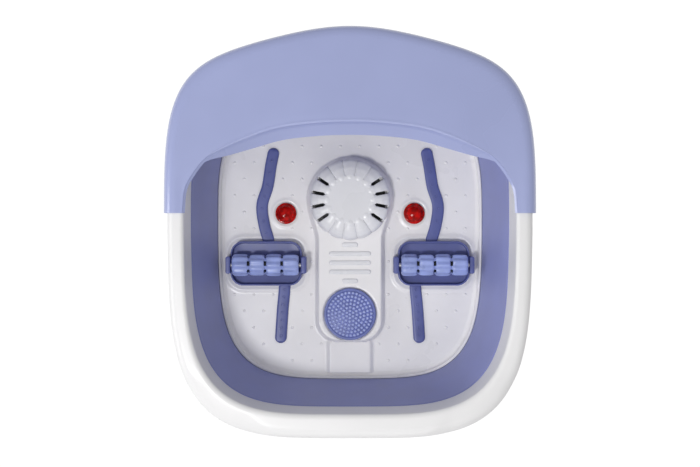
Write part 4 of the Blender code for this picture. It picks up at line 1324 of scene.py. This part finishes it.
@dataclass
class BaseShell:
    """The outside of the base: housing, clamp ring, bottom plate, feet and screws."""

    plan: BasinPlan

    def housing(self) -> Form:
        """The housing's closed section: outer wall with a shadow groove, foot, inner wall."""
        corners = [(33.2, 69.7, 0.7), (33.3, 64.2, 0.3), (34.1, 63.6, 0.3), (34.1, 62.4, 0.3),
                   (33.4, 61.8, 0.3), (35.2, 43.0, 60.0), (41.6, 22.0, 40.0), (49.4, 8.4, 3.0),
                   (63.8, 8.4, 0.4), (63.8, 13.9, 0.4), (51.2, 13.9, 2.0), (44.6, 23.0, 30.0),
                   (38.6, 43.0, 40.0), (37.0, 60.0, 4.0), (37.0, 69.7, 0.5)]
        line = filleted([(a * MM, b * MM, r * MM) for a, b, r in corners], closed=True, steps=6)
        return self.plan.ring(line)

    def build(self) -> None:
        """Make and dress the shell's pieces."""
        show("base_shell", self.housing(), BASE_WHITE, Body.BASE,
             ["base_housing"])
        clamp = [(33.2, 75.4, 0.4), (33.0, 80.6, 1.2), (35.6, 81.0, 0.6), (35.5, 75.4, 0.3)]
        line = filleted([(a * MM, b * MM, r * MM) for a, b, r in clamp], closed=True, steps=5)
        show("wall_clamp_ring", self.plan.ring(line), BASE_WHITE, Body.BASE,
             ["lower_clamp_ring"])
        plate = [(80.0, 5.6, 0.0), (62.0, 5.6, 0.6), (61.0, 5.0, 0.6), (50.8, 5.0, 0.8),
                 (50.3, 7.9, 0.3), (90.0, 7.9, 0.0)]
        line = filleted([(a * MM, b * MM, r * MM) for a, b, r in plate], steps=4)
        show("bottom_cover", self.plan.slab(line), BASE_WHITE, Body.BASE,
             ["bottom_plate"])
        for index in range(1, 5):
            self.foot(index)
        for index in range(1, 7):
            self.screw(index)

    def foot(self, index: int) -> None:
        """One rubber foot: a disc with a rounded edge and two grooves in its sole."""
        node = "rubber_foot_%d" % index
        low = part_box(node)[0]
        cx, cy, r = round_place(node)
        corners = [(0.4, 0.5, 0.0), (4.0, 0.5, 0.2), (4.4, 0.0, 0.2), (7.6, 0.0, 0.2),
                   (7.9, 0.6, 0.2), (9.0, 0.6, 0.2), (9.3, 0.0, 0.2), (13.3, 0.0, 0.7),
                   (13.3, 4.7, 0.8), (4.0, 4.7, 0.2), (4.0, 7.6, 0.4), (0.4, 7.6, 0.0)]
        profile = filleted([(a * MM, b * MM, f * MM) for a, b, f in corners], steps=4)
        profile[:, 0] = np.minimum(profile[:, 0], r)
        show("foot_%d" % index, turned(profile, 48).moved((cx, cy, low.z)), FOOT_GREY,
             Body.BASE, [node])

    def screw(self, index: int) -> None:
        """One screw: a domed head with a cross recess, and a shank.

        The head's surface is sunk where the smaller of |x| and |y| is inside the cross's arm
        and the larger is inside its reach.
        """
        node = "bottom_screw_%d" % index
        low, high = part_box(node)
        cx, cy, r = round_place(node)
        share = np.linspace(0.02, 1.0, 22)
        turn = np.linspace(0.0, TAU, 64, endpoint=False)
        x, y = r * share[:, None] * np.cos(turn), r * share[:, None] * np.sin(turn)
        near, far = np.minimum(np.abs(x), np.abs(y)), np.maximum(np.abs(x), np.abs(y))
        cross = smooth_step((0.62 * MM - near) / (0.3 * MM))
        cross = cross * smooth_step((2.3 * MM - far) / (0.5 * MM))
        z = low.z + 0.9 * MM * share[:, None] ** 3 + 0.95 * MM * cross + 0.0 * x
        head = np.stack([cx + x, cy + y, z], axis=-1)
        side = filleted([(r, low.z + 1.2 * MM, 0.0), (r, low.z + 2.0 * MM, 0.2 * MM),
                         (1.7 * MM, low.z + 2.1 * MM, 0.1 * MM), (1.7 * MM, high.z, 0.0)],
                        steps=3)
        rest = np.stack([cx + side[:, :1] * np.cos(turn), cy + side[:, :1] * np.sin(turn),
                         side[:, 1:] + 0.0 * turn], axis=-1)
        form = Form.from_grid(np.concatenate([head, rest]))
        show("screw_%d" % index, form, SCREW_STEEL, Body.BASE, [node], sharp=40.0)


@dataclass
class Controls:
    """The pod in the toe wall, its turning knob, indicator window and the lead's gland."""

    flutes: int = 24

    def build(self) -> None:
        """Make and dress the pod, knob, window and gland."""
        self.pod()
        self.knob()
        low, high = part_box("indicator_window")
        r = (high.x - low.x) / 2.0
        arc = np.linspace(0.0, 0.95 * math.pi / 2.0, 10)
        face = high.y - 1.3 * MM
        profile = np.vstack([[[0.2 * MM, low.y], [r, low.y]],
                             np.column_stack([r * np.cos(arc), face + 1.3 * MM * np.sin(arc)])])
        lens = turned(profile, 40).moved(((low.x + high.x) / 2.0, 0.0, (low.z + high.z) / 2.0),
                                         TURN_TO_Y)
        show("indicator_lens", lens, WINDOW_CLEAR, Body.BASE,
             ["indicator_window"])
        self.gland()

    def pod(self) -> None:
        """The pod: a rounded box whose front edge is softly rolled, with a framed face."""
        low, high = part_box("control_pod")
        half_x, half_z = (high.x - low.x) / 2.0, (high.z - low.z) / 2.0
        face = high.y
        profile = filleted([(0.0, low.y, 0.0), (0.0, face - 2.0 * MM, 0.0),
                            (0.0, face, 2.4 * MM), (4.0 * MM, face, 0.4 * MM),
                            (4.5 * MM, face - 0.6 * MM, 0.3 * MM),
                            (16.0 * MM, face - 0.6 * MM, 0.0)], steps=6)
        form = lofted_box(half_x, half_z, 7.0 * MM, profile)
        form = form.moved(((low.x + high.x) / 2.0, 0.0, (low.z + high.z) / 2.0), TURN_TO_Y)
        show("control_face", form, BASE_WHITE, Body.BASE, ["control_pod"])

    def knob(self) -> None:
        """The knob: a fluted skirt under a smooth cap with a raised grip bar."""
        low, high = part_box("selector_knob")
        cx, cz = (low.x + high.x) / 2.0, (low.z + high.z) / 2.0
        r = (high.x - low.x) / 2.0
        foot, top = 161.4 * MM, high.y - 2.6 * MM
        profile = filleted([(r - 2.5 * MM, foot, 0.0), (r, foot, 0.5 * MM),
                            (r - 1.0 * MM, top - 3.0 * MM, 1.5 * MM),
                            (r - 2.2 * MM, top, 1.6 * MM), (0.6 * MM, top + 0.4 * MM, 0.0)],
                           steps=7)
        profile = subdivided(profile, 1.5 * MM)
        turn = np.linspace(0.0, TAU, 192, endpoint=False)
        height = (profile[:, 1] - foot) / (top - foot)
        flute = smooth_step(height / 0.1) * smooth_step((0.82 - height) / 0.1)
        flute = flute * smooth_step((profile[:, 0] - 0.8 * r) / (0.1 * r))
        radius = profile[:, :1] - 0.5 * MM * flute[:, None] * (
            0.5 + 0.5 * np.cos(self.flutes * turn)[None])
        grid = np.stack([radius * np.cos(turn), radius * np.sin(turn),
                         profile[:, 1:] + 0.0 * turn], axis=-1)
        grip = lofted_box(2.3 * MM, 11.6 * MM, 2.2 * MM, filleted(
            [(-0.2 * MM, top - 0.8 * MM, 0.0), (0.2 * MM, high.y, 1.0 * MM),
             (2.0 * MM, high.y, 0.0)], steps=5))
        form = Form.together([Form.from_grid(grid), grip]).moved((cx, 0.0, cz), TURN_TO_Y)
        show("knob_turner", form, ROLLER_BLUE, Body.KNOB, ["selector_knob"])

    def gland(self) -> None:
        """The gland: a bored collar with a rounded flange outside the wall."""
        low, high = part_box("cord_gland")
        cx, cz = (low.x + high.x) / 2.0, (low.z + high.z) / 2.0
        corners = [(3.5, high.y / MM, 0.2), (3.5, low.y / MM, 0.9), (8.0, low.y / MM, 1.2),
                   (12.4, low.y / MM + 1.2, 0.6), (12.4, low.y / MM + 3.0, 0.3),
                   (10.1, low.y / MM + 3.2, 0.2), (10.1, high.y / MM, 0.2)]
        line = filleted([(a * MM, b * MM, r * MM) for a, b, r in corners], closed=True, steps=5)
        form = tube(line, 56).moved((cx, 0.0, cz), TURN_TO_Y)
        show("lead_gland", form, BLACK_PLASTIC, Body.BASE, ["cord_gland"])


class HiddenWorks:
    """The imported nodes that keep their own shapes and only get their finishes."""

    FINISHES: dict[str, Moulded] = {
        "base_gasket": SEAL_DARK, "blower_housing": BLACK_PLASTIC,
        "blower_impeller": CAP_WHITE, "blower_motor": MOTOR_STEEL, "motor_shaft": SCREW_STEEL,
        "left_air_hose": SEAL_DARK, "right_air_hose": SEAL_DARK, "heater_plate": HEATER_METAL,
        "thermostat": MOTOR_STEEL, "control_board": BOARD_GREEN,
        "selector_switch": BLACK_PLASTIC, "vibration_motor": MOTOR_STEEL,
        "eccentric_weight": SCREW_STEEL, "left_infrared_lamp": LAMP_GLASS,
        "right_infrared_lamp": LAMP_GLASS, "left_lens_gasket": SEAL_DARK,
        "right_lens_gasket": SEAL_DARK, "left_roller_axle": SCREW_STEEL,
        "right_roller_axle": SCREW_STEEL}

    def build(self) -> None:
        """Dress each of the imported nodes."""
        for node, finish in self.FINISHES.items():
            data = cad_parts[node].data
            data.materials.clear()
            data.materials.append(finish.material())
            LOG.info("%s: dressed as %s", node, finish.label)


# ---------------------------------------------------------------------------- studio


@dataclass(frozen=True)
class Lamp:
    """A square soft light: its name, where it stands, the length of its side, its watts."""

    name: str
    place: tuple[float, float, float]
    size: float
    power: float


@dataclass
class Studio:
    """A pale lit table, soft lights and the overhead camera."""

    height: float = 1.3
    eye_y: float = -1.3 * MM
    focal: float = 67.27
    floor_half: float = 3.0
    table_glow: float = 1.05
    table_grey: float = 0.3
    sky: float = 0.5
    aim_height: float = 0.12
    lamps: tuple[Lamp, ...] = (Lamp("key", (-0.75, -0.8, 3.0), 0.35, 33.0),
                               Lamp("side_softbox", (-1.6, -0.3, 0.85), 0.8, 9.0),
                               Lamp("heel_softbox", (0.1, -1.5, 1.3), 1.2, 5.0))

    def build(self) -> None:
        """Make the floor, the lights and the camera."""
        self.floor()
        bpy.context.scene.view_settings.view_transform = "Standard"
        for lamp in self.lamps:
            self.light(lamp)
        world = bpy.data.worlds.new("studio_white")
        world.use_nodes = True
        world.node_tree.nodes["Background"].inputs["Color"].default_value = (1, 1, 1, 1)
        world.node_tree.nodes["Background"].inputs["Strength"].default_value = self.sky
        bpy.context.scene.world = world
        self.camera()

    def floor(self) -> None:
        """A flat pale floor under the feet."""
        s = self.floor_half
        line = np.array([[-s, -s, 0.0], [s, -s, 0.0], [s, s, 0.0], [-s, s, 0.0]])
        form = Form(line, np.array([[0, 1, 2, 3]]))
        ground = bpy.data.objects.new("studio_floor", form.mesh("studio_floor", 30.0))
        bpy.context.scene.collection.objects.link(ground)
        ground.data.materials.append(self.paper())

    def paper(self) -> bpy.types.Material:
        """The table's paper: white where it is seen or mirrored, grey where it lights."""
        made = bpy.data.materials.new("studio_paper")
        made.use_nodes = True
        tree = made.node_tree
        grey = tree.nodes["Principled BSDF"]
        grey.inputs["Base Color"].default_value = (*(self.table_grey,) * 3, 1.0)
        grey.inputs["Roughness"].default_value = 0.8
        glow = tree.nodes.new("ShaderNodeEmission")
        glow.inputs["Strength"].default_value = self.table_glow
        path = tree.nodes.new("ShaderNodeLightPath").outputs
        seen = tree.nodes.new("ShaderNodeMath")
        seen.operation = "MAXIMUM"
        tree.links.new(path["Is Camera Ray"], seen.inputs[0])
        tree.links.new(path["Is Glossy Ray"], seen.inputs[1])
        mixed = tree.nodes.new("ShaderNodeMixShader")
        tree.links.new(seen.outputs["Value"], mixed.inputs["Fac"])
        tree.links.new(grey.outputs["BSDF"], mixed.inputs[1])
        tree.links.new(glow.outputs["Emission"], mixed.inputs[2])
        tree.links.new(mixed.outputs["Shader"], tree.nodes["Material Output"].inputs["Surface"])
        return made

    def light(self, lamp: Lamp) -> None:
        """Stand a lamp in its place, aimed at the basin.

        Args:
            lamp: The lamp.
        """
        data = bpy.data.lights.new(lamp.name, "AREA")
        data.size = lamp.size
        data.energy = lamp.power
        stand = bpy.data.objects.new(lamp.name, data)
        stand.location = lamp.place
        aim = np.array([0.0, 0.0, self.aim_height]) - np.array(lamp.place)
        x, y, z = aim / np.linalg.norm(aim)
        stand.rotation_euler = (math.acos(-z), 0.0, math.atan2(y, x) - math.pi / 2.0)
        bpy.context.scene.collection.objects.link(stand)

    def camera(self) -> None:
        """The camera, straight above the basin with the toe side at the top."""
        data = bpy.data.cameras.new("overhead_camera")
        data.lens = self.focal
        data.sensor_width = 36.0
        eye = bpy.data.objects.new("overhead_camera", data)
        eye.location = (0.0, self.eye_y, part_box("upper_rim")[1].z + self.height)
        bpy.context.scene.collection.objects.link(eye)
        bpy.context.scene.camera = eye


def main() -> None:
    """Build every sub-assembly in order, then the studio."""
    logging.basicConfig(level=logging.INFO, format="%(message)s")
    plan = BasinPlan.from_frame()
    assemblies = [UpperRim(plan), FlexibleWall(plan), SplashGuard(plan), BasePan(plan),
                  CirculationCap(), PedicurePad(), BaseShell(plan), Controls(), HiddenWorks()]
    for side in Side:
        assemblies += [BubbleChannel(side), FootRoller(side), InfraredLens(side)]
    for assembly in assemblies:
        assembly.build()
    Studio().build()


if __name__ == "__main__":
    main()
